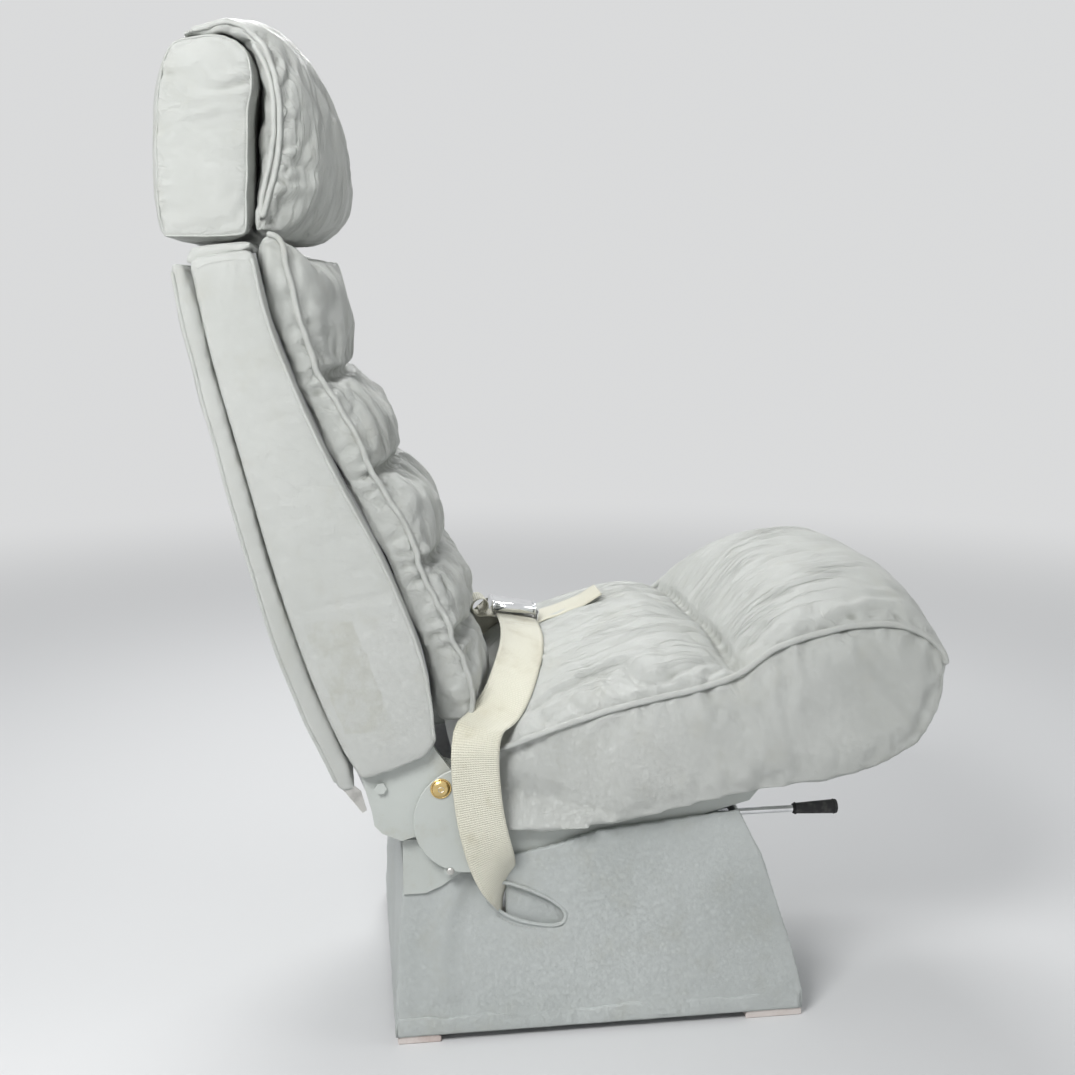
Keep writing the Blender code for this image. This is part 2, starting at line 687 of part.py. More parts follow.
def recline_lock():
    """Cylinder, rod with its rear eye, and the bracket under the pan that holds it."""
    rear = LOCK_LENGTH - LOCK_CYLINDER_LENGTH
    bore = LOCK_ROD_RADIUS + GAP
    front_gap = LOCK_CYLINDER_RADIUS * 1.2
    cylinder = make("recline_lock_cylinder",
                    rod_mesh(place(LOCK_X, *on_lock(rear)), place(LOCK_X, *on_lock(LOCK_LENGTH)),
                             LOCK_CYLINDER_RADIUS), "steel")
    round_edges(cylinder, 0.0015)
    combine(cylinder, rod_mesh(place(LOCK_X, *on_lock(rear - 0.01)),
                               place(LOCK_X, *on_lock(LOCK_LENGTH - 0.012)), bore), "DIFFERENCE")

    rod_tip = rear + lock_stroke + 0.020
    rod = make("recline_lock_rod",
               rod_mesh(place(LOCK_X, *lock_start), place(LOCK_X, *on_lock(rod_tip)),
                        LOCK_ROD_RADIUS, 16), "steel")
    eye_half = 0.0045
    combine(rod, rod_mesh(place(LOCK_X - eye_half, *lock_start),
                          place(LOCK_X + eye_half, *lock_start), LOCK_EYE_RADIUS), "UNION")
    combine(rod, rod_mesh(place(LOCK_X - 0.02, *lock_start), place(LOCK_X + 0.02, *lock_start),
                          LOCK_PIN_RADIUS + LOCK_EYE_PLAY), "DIFFERENCE")

    mid = on_lock(LOCK_LENGTH - front_gap)
    ear = 0.0040
    inner = LOCK_CYLINDER_RADIUS + GAP
    rear_edge, front_edge = mid[0] - 0.012, mid[0] + 0.012
    outline = [(rear_edge, mid[1] - 0.010), (front_edge, mid[1] - 0.010),
               (front_edge, under_pan(front_edge) - GAP), (rear_edge, under_pan(rear_edge) - GAP)]
    holder = make("lock_base_bracket",
                  prism_mesh(outline, LOCK_X - inner - ear, LOCK_X + inner + ear), "aluminium")
    combine(holder, rod_mesh(place(LOCK_X, *on_lock(LOCK_LENGTH - 0.09)),
                             place(LOCK_X, *on_lock(LOCK_LENGTH + 0.09)), inner), "DIFFERENCE")


recline_lock()


def lever():
    """Release lever: a plated rod from a pivot bracket, with a rubber grip."""
    hub_half = 0.0060
    hub_radius = 0.0100
    pin_radius = 0.0030
    rod = make("recline_lever_rod",
               rod_mesh(place(LEVER_X, *LEVER_PIVOT),
                        place(LEVER_X, LEVER_GRIP_START + 0.030, LEVER_PIVOT[1]),
                        LEVER_RADIUS, 16), "steel")
    combine(rod, rod_mesh(place(LEVER_X - hub_half, *LEVER_PIVOT),
                          place(LEVER_X + hub_half, *LEVER_PIVOT), hub_radius), "UNION")
    tail = (LEVER_PIVOT[0] - 0.020, LEVER_PIVOT[1] - 0.010)
    combine(rod, rod_mesh(place(LEVER_X, *LEVER_PIVOT), place(LEVER_X, *tail), 0.0040, 12),
            "UNION")
    combine(rod, rod_mesh(place(LEVER_X - 0.02, *LEVER_PIVOT), place(LEVER_X + 0.02, *LEVER_PIVOT),
                          pin_radius + GAP, 16), "DIFFERENCE")

    grip = make("recline_lever_grip",
                rod_mesh(place(LEVER_X, LEVER_GRIP_START, LEVER_PIVOT[1]),
                         place(LEVER_X, LEVER_GRIP_END, LEVER_PIVOT[1]),
                         LEVER_GRIP_RADIUS * 0.72, 20, LEVER_GRIP_RADIUS), "rubber")
    round_edges(grip, 0.0015)
    combine(grip, rod_mesh(place(LEVER_X, LEVER_GRIP_START - 0.01, LEVER_PIVOT[1]),
                           place(LEVER_X, LEVER_GRIP_START + 0.030 + GAP, LEVER_PIVOT[1]),
                           LEVER_RADIUS + GAP, 16), "DIFFERENCE")

    cheek_in = hub_half + RUNNING_GAP
    cheek_out = cheek_in + 0.0030
    rear_edge, front_edge = LEVER_PIVOT[0] - 0.014, LEVER_PIVOT[0] + 0.014
    top = under_pan(rear_edge) - GAP
    outline = [(rear_edge, LEVER_PIVOT[1] - 0.010), (front_edge, LEVER_PIVOT[1] - 0.010),
               (front_edge, under_pan(front_edge) - GAP), (rear_edge, top)]
    holder = make("lever_bracket",
                  prism_mesh(outline, LEVER_X - cheek_out, LEVER_X + cheek_out), "aluminium")
    combine(holder, box_mesh(place(LEVER_X - cheek_in, LEVER_PIVOT[0] + 0.03, LEVER_PIVOT[1] - 0.03),
                             place(LEVER_X + cheek_in, LEVER_PIVOT[0] - 0.03, top - 0.0030)),
            "DIFFERENCE")
    combine(holder, rod_mesh(place(LEVER_X - cheek_out + 0.001, *LEVER_PIVOT),
                             place(LEVER_X + cheek_out - 0.001, *LEVER_PIVOT), pin_radius, 16),
            "UNION")


lever()


# Back frame: side rails, cross tubes, diaphragm and covers

rail_in, rail_out = BACK_RAIL_IN, BACK_RAIL_IN + BACK_RAIL_THICK
back_front = smooth_line(BACK_FRONT_LINE, 18)
back_inner = smooth_line(BACK_INNER_LINE, 18)
back_rear = smooth_line(BACK_REAR_LINE, 18)
BACK_TUBE_RADIUS = 0.0110
TOP_TUBE_DROP = 0.0500
post_tilt = math.radians(POST_TILT_DEGREES)
behind_guide = POST_RADIUS + GUIDE_WALL + BACK_TUBE_RADIUS + GAP
TOP_TUBE = (POST_FORWARD + math.sin(post_tilt) * TOP_TUBE_DROP - behind_guide / math.cos(post_tilt),
            POST_LEVEL - math.cos(post_tilt) * TOP_TUBE_DROP)
LOWER_TUBE = (-0.022, 0.338)
DIAPHRAGM_THICK = 0.0020


def under_top_pad(forward, clearance):
    """A side view point just below the top pad's underside."""
    low, high = BACK_TOP_UNDER
    rise = (high[1] - low[1]) / (high[0] - low[0])
    return (forward, low[1] + (forward - low[0]) * rise - clearance)


def back_rail(side, word):
    """Pressed side frame of the back, with lightening holes and a lower lug."""
    front = [(forward - SOFT_GAP, height) for forward, height in back_front
             if 0.352 < height < 0.830]
    rear = [(forward + SOFT_GAP, height) for forward, height in reversed(back_inner)
            if 0.330 < height < 0.825]
    corners = [under_top_pad(BACK_TOP_REAR, GAP), under_top_pad(BACK_TOP_FRONT, GAP)]
    lug = [(-0.006, 0.345), (-0.012, 0.288), (-0.046, 0.288)]
    low, high = across(side, rail_in, rail_out)
    piece = make(f"back_rail_{word}", prism_mesh(front + lug + rear + corners, low, high),
                 "aluminium")
    for height in (0.740, 0.640, 0.530, 0.430):
        middle = (level(back_front, height) + level(back_inner, height)) / 2
        wide = (level(back_front, height) - level(back_inner, height)) * 0.28
        combine(piece, rod_mesh(place(low - 0.01, middle, height), place(high + 0.01, middle, height),
                                wide, 16), "DIFFERENCE")


both_sides(back_rail)


def back_tube(name, centre):
    """Cross tube between the side frames of the back."""
    end = rail_in - GAP
    piece = make(name, rod_mesh(place(-end, *centre), place(end, *centre), BACK_TUBE_RADIUS, 20),
                 "aluminium")
    combine(piece, rod_mesh(place(-end - 0.01, *centre), place(end + 0.01, *centre),
                            BACK_TUBE_RADIUS - 0.0020, 20), "DIFFERENCE")
    return piece


back_tube("back_top_tube", TOP_TUBE)
lower_tube = back_tube("back_lower_tube", LOWER_TUBE)
ARM_GAP_HALF = 0.0045 + RUNNING_GAP
ARM_THICK = 0.0040
ARM_OUTLINE = [(LOWER_TUBE[0] - 0.010, LOWER_TUBE[1] - 0.004), (lock_start[0] - 0.0100, lock_start[1]),
               (lock_start[0] - 0.0040, lock_start[1] - 0.0090),
               (lock_start[0] + 0.0070, lock_start[1] - 0.0070),
               (lock_start[0] + 0.0100, lock_start[1] + 0.0020),
               (LOWER_TUBE[0] + 0.0100, LOWER_TUBE[1] - 0.0040)]
for arm_side in (-1, 1):
    arm_low, arm_high = sorted((LOCK_X + arm_side * ARM_GAP_HALF,
                                LOCK_X + arm_side * (ARM_GAP_HALF + ARM_THICK)))
    combine(lower_tube, prism_mesh(ARM_OUTLINE, arm_low, arm_high), "UNION")
combine(lower_tube, rod_mesh(place(LOCK_X - ARM_GAP_HALF - 0.001, *lock_start),
                             place(LOCK_X + ARM_GAP_HALF + 0.001, *lock_start),
                             LOCK_PIN_RADIUS, 16), "UNION")


def back_diaphragm():
    """Thin curved sheet between the side frames that backs the cushion."""
    front = [(forward - SOFT_GAP * 0.5, height) for forward, height in back_front
             if 0.365 < height < 0.832]
    rear = [(forward - DIAPHRAGM_THICK, height) for forward, height in reversed(front)]
    half = rail_in - GAP
    make("back_diaphragm", prism_mesh(front + rear, -half, half), "aluminium")


back_diaphragm()


def side_pad(side, word):
    """Padded, covered panel outside a side frame, hollowed for the bracket."""
    front = [(forward - SOFT_GAP, height) for forward, height in back_front if height < 0.830]
    rear = [(forward + SOFT_GAP, height) for forward, height in reversed(back_inner)
            if 0.330 < height < 0.825]
    corners = [under_top_pad(BACK_TOP_REAR, SOFT_GAP / 2),
               under_top_pad(BACK_TOP_FRONT, SOFT_GAP / 2)]
    outline = front + [(0.016, 0.336), (-0.020, 0.322), (-0.050, 0.314)] + rear + corners
    low, high = across(side, rail_out + GAP, BACK_PAD_OUT)
    piece = make(f"back_side_pad_{word}", prism_mesh(outline, low, high), "leather", 50)
    round_edges(piece, 0.0050, 2)
    pocket = across(side, rail_out - 0.002, BRACKET_IN + BRACKET_THICK + SOFT_GAP)
    hollow = [(0.060, 0.300), (0.060, 0.400), (0.010, BRACKET_TOP + SOFT_GAP),
              (-0.064, BRACKET_TOP + SOFT_GAP), (-0.071, 0.400), (-0.058, 0.300)]
    combine(piece, prism_mesh(hollow, *pocket), "DIFFERENCE")


both_sides(side_pad)


def back_top_pad():
    """Covered panel that closes the top of the back between the cushions."""
    outline = BACK_TOP_UNDER + [(-0.139, 0.8500), (-0.196, 0.8430), (-0.211, 0.8385),
                                (-0.212, 0.8330)]
    half = BACK_PAD_OUT - 0.014
    piece = make("back_top_pad", prism_mesh(outline, -half, half), "leather")
    for side in (-1, 1):
        combine(piece, rod_mesh(on_post(side, -0.06), on_post(side, 0.06),
                                POST_RADIUS + GUIDE_WALL + 2 * GAP), "DIFFERENCE")


def on_post(side, distance):
    """A point on a headrest post's line, at a distance above the back."""
    tilt = math.radians(POST_TILT_DEGREES)
    return place(side * POST_X, POST_FORWARD - math.sin(tilt) * distance,
                 POST_LEVEL + math.cos(tilt) * distance)


back_top_pad()


def back_rear_cover():
    """Padded rear panel, one sheet as deep as the strip seen from the side."""
    outer = list(back_rear)
    inner = [(level(back_inner, height) - SOFT_GAP, height)
             for forward, height in reversed(back_rear)]
    inner[-1] = (-0.203, 0.817)
    piece = make("back_rear_cover", prism_mesh(outer + inner, -BACK_PAD_OUT + 0.008,
                                               BACK_PAD_OUT - 0.008), "leather", 50)
    round_edges(piece, 0.0040, 2)


back_rear_cover()


def pillow_front(height):
    """How far the middle of the back cushion stands forward at a height."""
    base = level(BACK_PIPING_LINE, height) + BACK_CROWN
    joints = [0.858] + PILLOW_JOINTS + [0.348]
    for top, bottom in zip(joints, joints[1:]):
        if bottom <= height <= top:
            share = (height - bottom) / (top - bottom)
            return base - PILLOW_PUFF + PILLOW_PUFF * 2.2 * math.sqrt(max(0.0, share * (1 - share)))
    return base - PILLOW_PUFF


def back_cushion():
    """Tufted back cushion: five pillows between sewn cross channels."""
    stations = []
    heights = []
    joints = [0.852] + PILLOW_JOINTS + [0.352]
    for top, bottom in zip(joints, joints[1:]):
        for share in (0.0, 0.12, 0.32, 0.55, 0.78, 0.93):
            heights.append(top + (bottom - top) * share)
    heights.append(joints[-1])
    total = len(heights) - 1
    for index, height in enumerate(heights):
        edge = (level(BACK_PIPING_LINE, height), height)
        back_height = min(height, 0.842)
        back = (level(BACK_FRONT_LINE, back_height) + SOFT_GAP, back_height - 0.0005 * (index == 0))
        shrink = 0.985 if index in (0, total) else 1.0
        shrink -= 0.07 * max(0.0, 1 - (height - heights[-1]) / 0.060)
        front = pillow_front(height)
        if index in (0, total):
            front = (front + edge[0]) / 2
        stations.append((back, edge, (front, height), shrink))
    make("back_cushion", cushion_mesh(stations, BACK_CUSHION_HALF), "leather", 60)


back_cushion()


# Headrest: posts in guides, a padded block, and the pillow hung over it

def headrest():
    """Posts that slide in guides, and the block that they carry."""
    for side, word in ((-1, "right"), (1, "left")):
        guide = make(f"headrest_guide_{word}",
                     rod_mesh(on_post(side, -GUIDE_LENGTH), on_post(side, 0.0035),
                              POST_RADIUS + GUIDE_WALL, 20), "steel")
        combine(guide, rod_mesh(on_post(side, -GUIDE_LENGTH - 0.02), on_post(side, 0.02),
                                POST_RADIUS + GAP, 20), "DIFFERENCE")
        make(f"headrest_post_{word}",
             rod_mesh(on_post(side, -POST_DOWN), on_post(side, POST_UP), POST_RADIUS, 20), "chrome")

    outline = [(-0.231, 0.857), (-0.234, 0.880), (-0.234, 0.940), (-0.229, 0.990),
               (-0.220, 1.026)] + HEADREST_OVER_LINE
    block = make("headrest_block", prism_mesh(outline, -HEADREST_HALF, HEADREST_HALF),
                 "leather", 50)
    round_edges(block, 0.0070, 2)
    for side in (-1, 1):
        combine(block, rod_mesh(on_post(side, -0.02), on_post(side, POST_UP + GAP),
                                POST_RADIUS + GAP, 20), "DIFFERENCE")


headrest()


def stand_off(line, distance):
    """A line moved off to its left by a distance, all along."""
    moved = []
    for index, point in enumerate(line):
        before, after = line[max(index - 1, 0)], line[min(index + 1, len(line) - 1)]
        run = Vector((after[0] - before[0], after[1] - before[1])).normalized()
        moved.append((point[0] - run[1] * distance, point[1] + run[0] * distance))
    return moved


def headrest_pillow():
    """Soft pillow that starts on top of the block and hangs down its front."""
    back = stand_off(HEADREST_OVER_LINE, 0.0005)
    edge = [(-0.210, 1.0510), (-0.191, 1.0590), (-0.168, 1.0620), (-0.142, 1.0600),
            (-0.122, 1.0380), (-0.110, 0.990), (-0.114, 0.940), (-0.128, 0.900),
            (-0.137, 0.860)]
    crown = [(-0.216, 1.0560), (-0.190, 1.0720), (-0.160, 1.0770), (-0.122, 1.0690),
             (-0.088, 1.0350), (-0.062, 0.985), (-0.053, 0.935), (-0.054, 0.890),
             (-0.080, 0.858)]
    stations = []
    last = len(back) - 1
    for index in range(2 * last + 1):
        half, odd = divmod(index, 2)
        spots = []
        for line in (back, edge, crown):
            a, b = line[half], line[min(half + odd, last)]
            spots.append(((a[0] + b[0]) / 2, (a[1] + b[1]) / 2))
        stations.append((*spots, 0.985 if index in (0, 2 * last) else 1.0))
    make("headrest_pillow", cushion_mesh(stations, HEADREST_HALF), "leather", 60)


headrest_pillow()


# Lap belt: webbing out of each skirt slot, over the cushion, to the buckle

def strap_mesh(route):
    """A flat strap through stations of centre, width direction and width."""
    points = []
    for index, (centre, wide, width, thick) in enumerate(route):
        before = route[max(index - 1, 0)][0]
        after = route[min(index + 1, len(route) - 1)][0]
        run = (after - before).normalized()
        wide = (wide - run * wide.dot(run)).normalized()
        deep = run.cross(wide).normalized()
        for across_share, deep_share in ((-1, -1), (1, -1), (1, 1), (-1, 1)):
            points.append(centre + wide * width * across_share / 2 + deep * thick * deep_share / 2)
    faces = [[0, 1, 2, 3], list(range(len(points) - 1, len(points) - 5, -1))]
    for row in range(len(route) - 1):
        for index in range(4):
            after = (index + 1) % 4
            faces.append([row * 4 + index, (row + 1) * 4 + index,
                          (row + 1) * 4 + after, row * 4 + after])
    mesh = bpy.data.meshes.new("strap")
    mesh.from_pydata(points, [], faces)
    return mesh


def lay_on_seat(x, forward, tilt, width):
    """Middle of a strap laid across the cushion, tilted nose down by an angle."""
    lift = SOFT_GAP + WEBBING_THICK
    shares = (-0.5, -0.25, 0.0, 0.25, 0.5)
    height = max(seat_top(x, forward + width * share * math.cos(tilt))
                 + width * share * math.sin(tilt) for share in shares) + lift
    return place(x, forward, height), Vector((0, -math.cos(tilt), -math.sin(tilt)))


buckle_tilt = math.radians(BUCKLE_TILT_DEGREES)
buckle_middle, buckle_wide = lay_on_seat(BUCKLE_X, BUCKLE_FORWARD, buckle_tilt, BUCKLE_WIDTH)
buckle_middle = buckle_middle + Vector((0, 0, BUCKLE_HEIGHT / 2))
ANCHOR_FORWARD = 0.0965


def belt_half(side, word):
    """Webbing from its anchor inside the skirt up and over to the buckle."""
    thick = WEBBING_THICK
    forwards = Vector((0, -1, 0))
    outside = WEBBING_OUT + thick / 2
    route = [(SKIRT_IN - 0.0046, ANCHOR_FORWARD, 0.1440, 0.018, 2 * thick),
             (SKIRT_IN - 0.0034, ANCHOR_FORWARD, 0.1570, 0.018, 2 * thick),
             (SKIRT_IN + 0.0030, ANCHOR_FORWARD, 0.1660, 0.018, 2 * thick),
             (skirt_out + 0.0110, ANCHOR_FORWARD, 0.1730, 0.020, 2 * thick),
             (skirt_out + 0.0200, 0.0930, 0.1840, 0.026, 1.6 * thick),
             (outside - 0.0008, 0.0870, 0.2000, 0.038, 1.2 * thick),
             (outside, 0.0780, 0.2280, 0.048, thick),
             (outside, 0.0705, 0.2650, WEBBING_WIDTH, thick),
             (outside, 0.0665, 0.3050, WEBBING_WIDTH, thick),
             (outside, 0.0660, 0.3380, WEBBING_WIDTH, thick),
             (outside - 0.0012, 0.0680, 0.3500, WEBBING_WIDTH, thick)]
    stations = [(place(side * x, forward, height), forwards, width, deep)
                for x, forward, height, width, deep in route]
    start = side * (outside - 0.0060)
    end = BUCKLE_X + side * (BUCKLE_LENGTH / 2 + (0.0052 if side < 0 else 0.0080))
    length = abs(start - end)
    distances = [0.0, 0.020, 0.045, 0.080, 0.120, 0.160]
    ahead = [0.0720, 0.0920, 0.1080, 0.1180, 0.1260, 0.1320]
    for distance, forward in zip(distances, ahead):
        if distance > length - 0.030:
            break
        tilt = buckle_tilt * min(1.0, distance / 0.120)
        centre, wide = lay_on_seat(start - side * distance, forward, tilt, WEBBING_WIDTH)
        centre.z += 0.0060 * max(0.0, 1 - distance / 0.045)
        stations.append((centre, wide, WEBBING_WIDTH, thick))
    entry = buckle_middle.z - BUCKLE_HEIGHT / 2 + BUCKLE_WALL + thick + GAP
    inside = BUCKLE_ADJUSTER_REACH if side > 0 else 0.0
    for x in (end + side * 0.0120, end, end - side * inside):
        if stations[-1][0].x != x:
            stations.append((place(x, BUCKLE_FORWARD, entry), buckle_wide, WEBBING_WIDTH, thick))
    make(f"belt_webbing_{word}", strap_mesh(stations), "webbing", 60)

    shackle_low, shackle_high = across(side, leg_out + GAP, SKIRT_IN - 0.0046 - thick - GAP)
    shackle = [(ANCHOR_FORWARD - 0.0100, 0.1180), (ANCHOR_FORWARD + 0.0100, 0.1180),
               (ANCHOR_FORWARD + 0.0110, 0.1480), (ANCHOR_FORWARD - 0.0110, 0.1480)]
    make(f"belt_shackle_{word}", prism_mesh(shackle, shackle_low, shackle_high), "steel")


both_sides(belt_half)


def buckle_block(low, high):
    """A block in the buckle's own lengths: across, forward and up from its middle."""
    mesh = box_mesh((low[0], -high[1], low[2]), (high[0], -low[1], high[2]))
    mesh.transform(Matrix.Translation(buckle_middle) @ Matrix.Rotation(buckle_tilt, 4, "X"))
    return mesh


def buckle():
    """Lift lever buckle: a folded body, the tongue inside it and the lever plate."""
    half, side_half, up = BUCKLE_LENGTH / 2, BUCKLE_WIDTH / 2, BUCKLE_HEIGHT / 2
    wall = BUCKLE_WALL
    body = make("belt_buckle_body", buckle_block((-half, -side_half, -up), (half, side_half, up)),
                "chrome")
    round_edges(body, 0.0010, 1)
    combine(body, buckle_block((-half - 0.01, -side_half + wall, -up + wall),
                               (half + 0.01, side_half - wall, up + 0.01)), "DIFFERENCE")

    tongue_low = -up + wall + GAP
    tongue_half = side_half - wall - GAP * 2
    make("belt_tongue",
         buckle_block((-half - 0.0040, -tongue_half, tongue_low),
                      (half - 0.020, tongue_half, tongue_low + 0.0022)), "steel")

    lever_low = up - 0.0038
    lever_piece = make("belt_buckle_lever",
                       buckle_block((-half + 0.004, -tongue_half, lever_low),
                                    (half - 0.003, tongue_half, up - 0.0003)), "chrome")
    round_edges(lever_piece, 0.0010, 1)


buckle()


def belt_tail():
    """Loose end of the webbing past the buckle, lying on the cushion."""
    stations = []
    for step in range(8):
        share = step / 7
        x = BUCKLE_X - 0.012 + 0.010 * share
        forward = BUCKLE_FORWARD + BUCKLE_WIDTH / 2 + 0.006 + share * 0.0640
        height = seat_top(x, forward) + WEBBING_THICK * 0.5 + SOFT_GAP * 0.8
        stations.append((place(x, forward, height), Vector((1, 0, 0)), WEBBING_WIDTH,
                         WEBBING_THICK))
    make("belt_tail", strap_mesh(stations), "webbing", 60)


belt_tail()
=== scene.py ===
"""Aircraft passenger seat in pale grey leather: finishes, soft covers and small fittings."""
import math

import bmesh
import bpy
import numpy as np
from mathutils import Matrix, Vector
from mathutils.bvhtree import BVHTree


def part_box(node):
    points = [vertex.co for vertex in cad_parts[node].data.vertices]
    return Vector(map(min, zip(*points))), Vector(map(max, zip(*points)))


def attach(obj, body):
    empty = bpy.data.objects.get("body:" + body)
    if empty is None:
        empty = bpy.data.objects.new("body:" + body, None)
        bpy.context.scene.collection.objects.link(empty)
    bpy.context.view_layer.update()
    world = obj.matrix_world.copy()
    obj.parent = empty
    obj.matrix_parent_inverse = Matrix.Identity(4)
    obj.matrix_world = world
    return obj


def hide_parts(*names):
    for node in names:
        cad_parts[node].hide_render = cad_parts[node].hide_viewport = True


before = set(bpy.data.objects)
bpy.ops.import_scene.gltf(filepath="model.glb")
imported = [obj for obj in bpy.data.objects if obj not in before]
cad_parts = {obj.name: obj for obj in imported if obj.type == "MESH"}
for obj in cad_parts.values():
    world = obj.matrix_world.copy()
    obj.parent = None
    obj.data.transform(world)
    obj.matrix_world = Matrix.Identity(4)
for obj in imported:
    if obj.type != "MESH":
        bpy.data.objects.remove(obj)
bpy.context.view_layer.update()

scene = bpy.context.scene

# Camera and studio
# The seat is seen from its right, from just behind the cushion's middle and a
# little above it, on a pale floor that fades into the backdrop far behind it.

CAMERA_PLACE = (-1.530, 0.2369, 0.8108)
CAMERA_TURN = math.radians(7.9)
CAMERA_DIP = math.radians(10.6)
CAMERA_LENS = 44.87
SENSOR_WIDTH = 36.0
LAMPS = {"key_lamp": ((-1.25, 0.85, 1.62), (-0.1, 0.1, 0.6), 0.6, 30.0),
         "far_lamp": ((1.45, 0.15, 1.95), (0.0, -0.1, 0.5), 0.8, 26.0),
         "front_lamp": ((-0.9, -2.6, 1.9), (0.0, 0.0, 0.5), 1.6, 16.0)}
SKY = (0.86, 0.88, 0.90, 1.0)
SKY_STRENGTH = 0.40
BACKDROP = (0.70, 0.705, 0.71, 1.0)
FLOOR_COLOUR = (0.66, 0.665, 0.67, 1.0)
FLOOR_REACH = 6.0
FLOOR_FADE = (1.1, 3.6)

camera_data = bpy.data.cameras.new("camera")
camera_data.lens = CAMERA_LENS
camera_data.sensor_width = SENSOR_WIDTH
camera = bpy.data.objects.new("camera", camera_data)
scene.collection.objects.link(camera)
looking = Vector((math.cos(CAMERA_TURN) * math.cos(CAMERA_DIP),
                  -math.sin(CAMERA_TURN) * math.cos(CAMERA_DIP), -math.sin(CAMERA_DIP)))
camera.location = CAMERA_PLACE
camera.rotation_euler = looking.to_track_quat("-Z", "Y").to_euler()
scene.camera = camera
scene.view_settings.view_transform = "Standard"

for name, (place, aim, size, watts) in LAMPS.items():
    data = bpy.data.lights.new(name, "AREA")
    data.size = size
    data.energy = watts
    made = bpy.data.objects.new(name, data)
    scene.collection.objects.link(made)
    made.location = place
    made.rotation_euler = (Vector(aim) - Vector(place)).to_track_quat("-Z", "Y").to_euler()


def add(tree, kind, wires=(), **settings):
    """A node of a kind, with its settings, and wires as (input, output or value) pairs."""
    node = tree.nodes.new("ShaderNode" + kind)
    for key, value in settings.items():
        setattr(node, key, value)
    for socket, source in wires:
        if isinstance(source, bpy.types.NodeSocket):
            tree.links.new(source, node.inputs[socket])
        else:
            node.inputs[socket].default_value = source
    return node


def spread(tree, value, low, high, to_low=0.0, to_high=1.0):
    """A value stretched from one range to another, and held there."""
    node = add(tree, "MapRange", [("Value", value), ("From Min", low), ("From Max", high),
                                  ("To Min", to_low), ("To Max", to_high)],
               interpolation_type="SMOOTHSTEP")
    return node.outputs[0]


def finish(name, roughness=0.5, metallic=0.0):
    """A new material, its tree and its shader."""
    made = bpy.data.materials.new(name)
    made.use_nodes = True
    shader = made.node_tree.nodes["Principled BSDF"]
    shader.inputs["Roughness"].default_value = roughness
    shader.inputs["Metallic"].default_value = metallic
    return made, made.node_tree, shader


world = bpy.data.worlds.new("studio")
scene.world = world
world.use_nodes = True
tree = world.node_tree
tree.nodes.clear()
sky = add(tree, "Background", [("Color", SKY), ("Strength", SKY_STRENGTH)])
shown = add(tree, "Background", [("Color", BACKDROP)])
rays = add(tree, "LightPath")
either = add(tree, "Math", [(0, rays.outputs["Is Camera Ray"]),
                            (1, rays.outputs["Is Glossy Ray"])], operation="MAXIMUM")
blend = add(tree, "MixShader", [("Fac", either.outputs[0]), (1, sky.outputs[0]),
                                (2, shown.outputs[0])])
add(tree, "OutputWorld", [("Surface", blend.outputs[0])])

floor_mesh = bpy.data.meshes.new("studio_floor")
floor_mesh.from_pydata([(x * FLOOR_REACH, y * FLOOR_REACH, 0)
                        for x, y in ((-1, -1), (1, -1), (1, 1), (-1, 1))], [], [(0, 1, 2, 3)])
studio_floor = bpy.data.objects.new("studio_floor", floor_mesh)
scene.collection.objects.link(studio_floor)
floor_paint, tree, shader = finish("studio_floor", 0.9)
shader.inputs["Base Color"].default_value = FLOOR_COLOUR
away = add(tree, "VectorMath", [(0, add(tree, "TexCoord").outputs["Object"])], operation="LENGTH")
glow = add(tree, "Emission", [("Color", BACKDROP)])
both = add(tree, "MixShader", [("Fac", spread(tree, away.outputs["Value"], *FLOOR_FADE)),
                               (1, shader.outputs[0]), (2, glow.outputs[0])])
tree.links.new(both.outputs[0], tree.nodes["Material Output"].inputs["Surface"])
floor_mesh.materials.append(floor_paint)


# Seat cushion
# Foam under stretched leather, sewn from a top panel and two side panels that
# meet in piping, with one deep seam across that parts the front bolster. It
# sits in the dished pan and is held by its own shape.

def group(name, inputs, outputs):
    """An empty node group with named float, colour or vector sockets."""
    made = bpy.data.node_groups.new(name, "ShaderNodeTree")
    kinds = {"f": "NodeSocketFloat", "c": "NodeSocketColor", "v": "NodeSocketVector"}
    for label, kind in inputs:
        made.interface.new_socket(name=label, in_out="INPUT", socket_type=kinds[kind])
    for label, kind in outputs:
        made.interface.new_socket(name=label, in_out="OUTPUT", socket_type=kinds[kind])
    start = made.nodes.new("NodeGroupInput")
    end = made.nodes.new("NodeGroupOutput")
    return made, start, end


def sums(tree, operation, *values):
    """A math node's result."""
    return add(tree, "Math", list(enumerate(values)), operation=operation).outputs[0]


def noise(tree, where, scale, detail, roughness=0.5, distortion=0.0):
    """A noise texture's value."""
    return add(tree, "TexNoise", [("Vector", where), ("Scale", scale), ("Detail", detail),
                                  ("Roughness", roughness),
                                  ("Distortion", distortion)]).outputs[0]


def mixed(tree, share, first, second, blend_type="MIX"):
    """Two colours mixed by a share."""
    node = tree.nodes.new("ShaderNodeMix")
    node.data_type = "RGBA"
    node.blend_type = blend_type
    for index, source in ((0, share), (6, first), (7, second)):
        if isinstance(source, bpy.types.NodeSocket):
            tree.links.new(source, node.inputs[index])
        else:
            node.inputs[index].default_value = source
    return node.outputs[2]


# The grain, the soiling and the wrinkles are shared by all leathers. They are
# read in Object coordinates, and every piece's object lies at the origin.

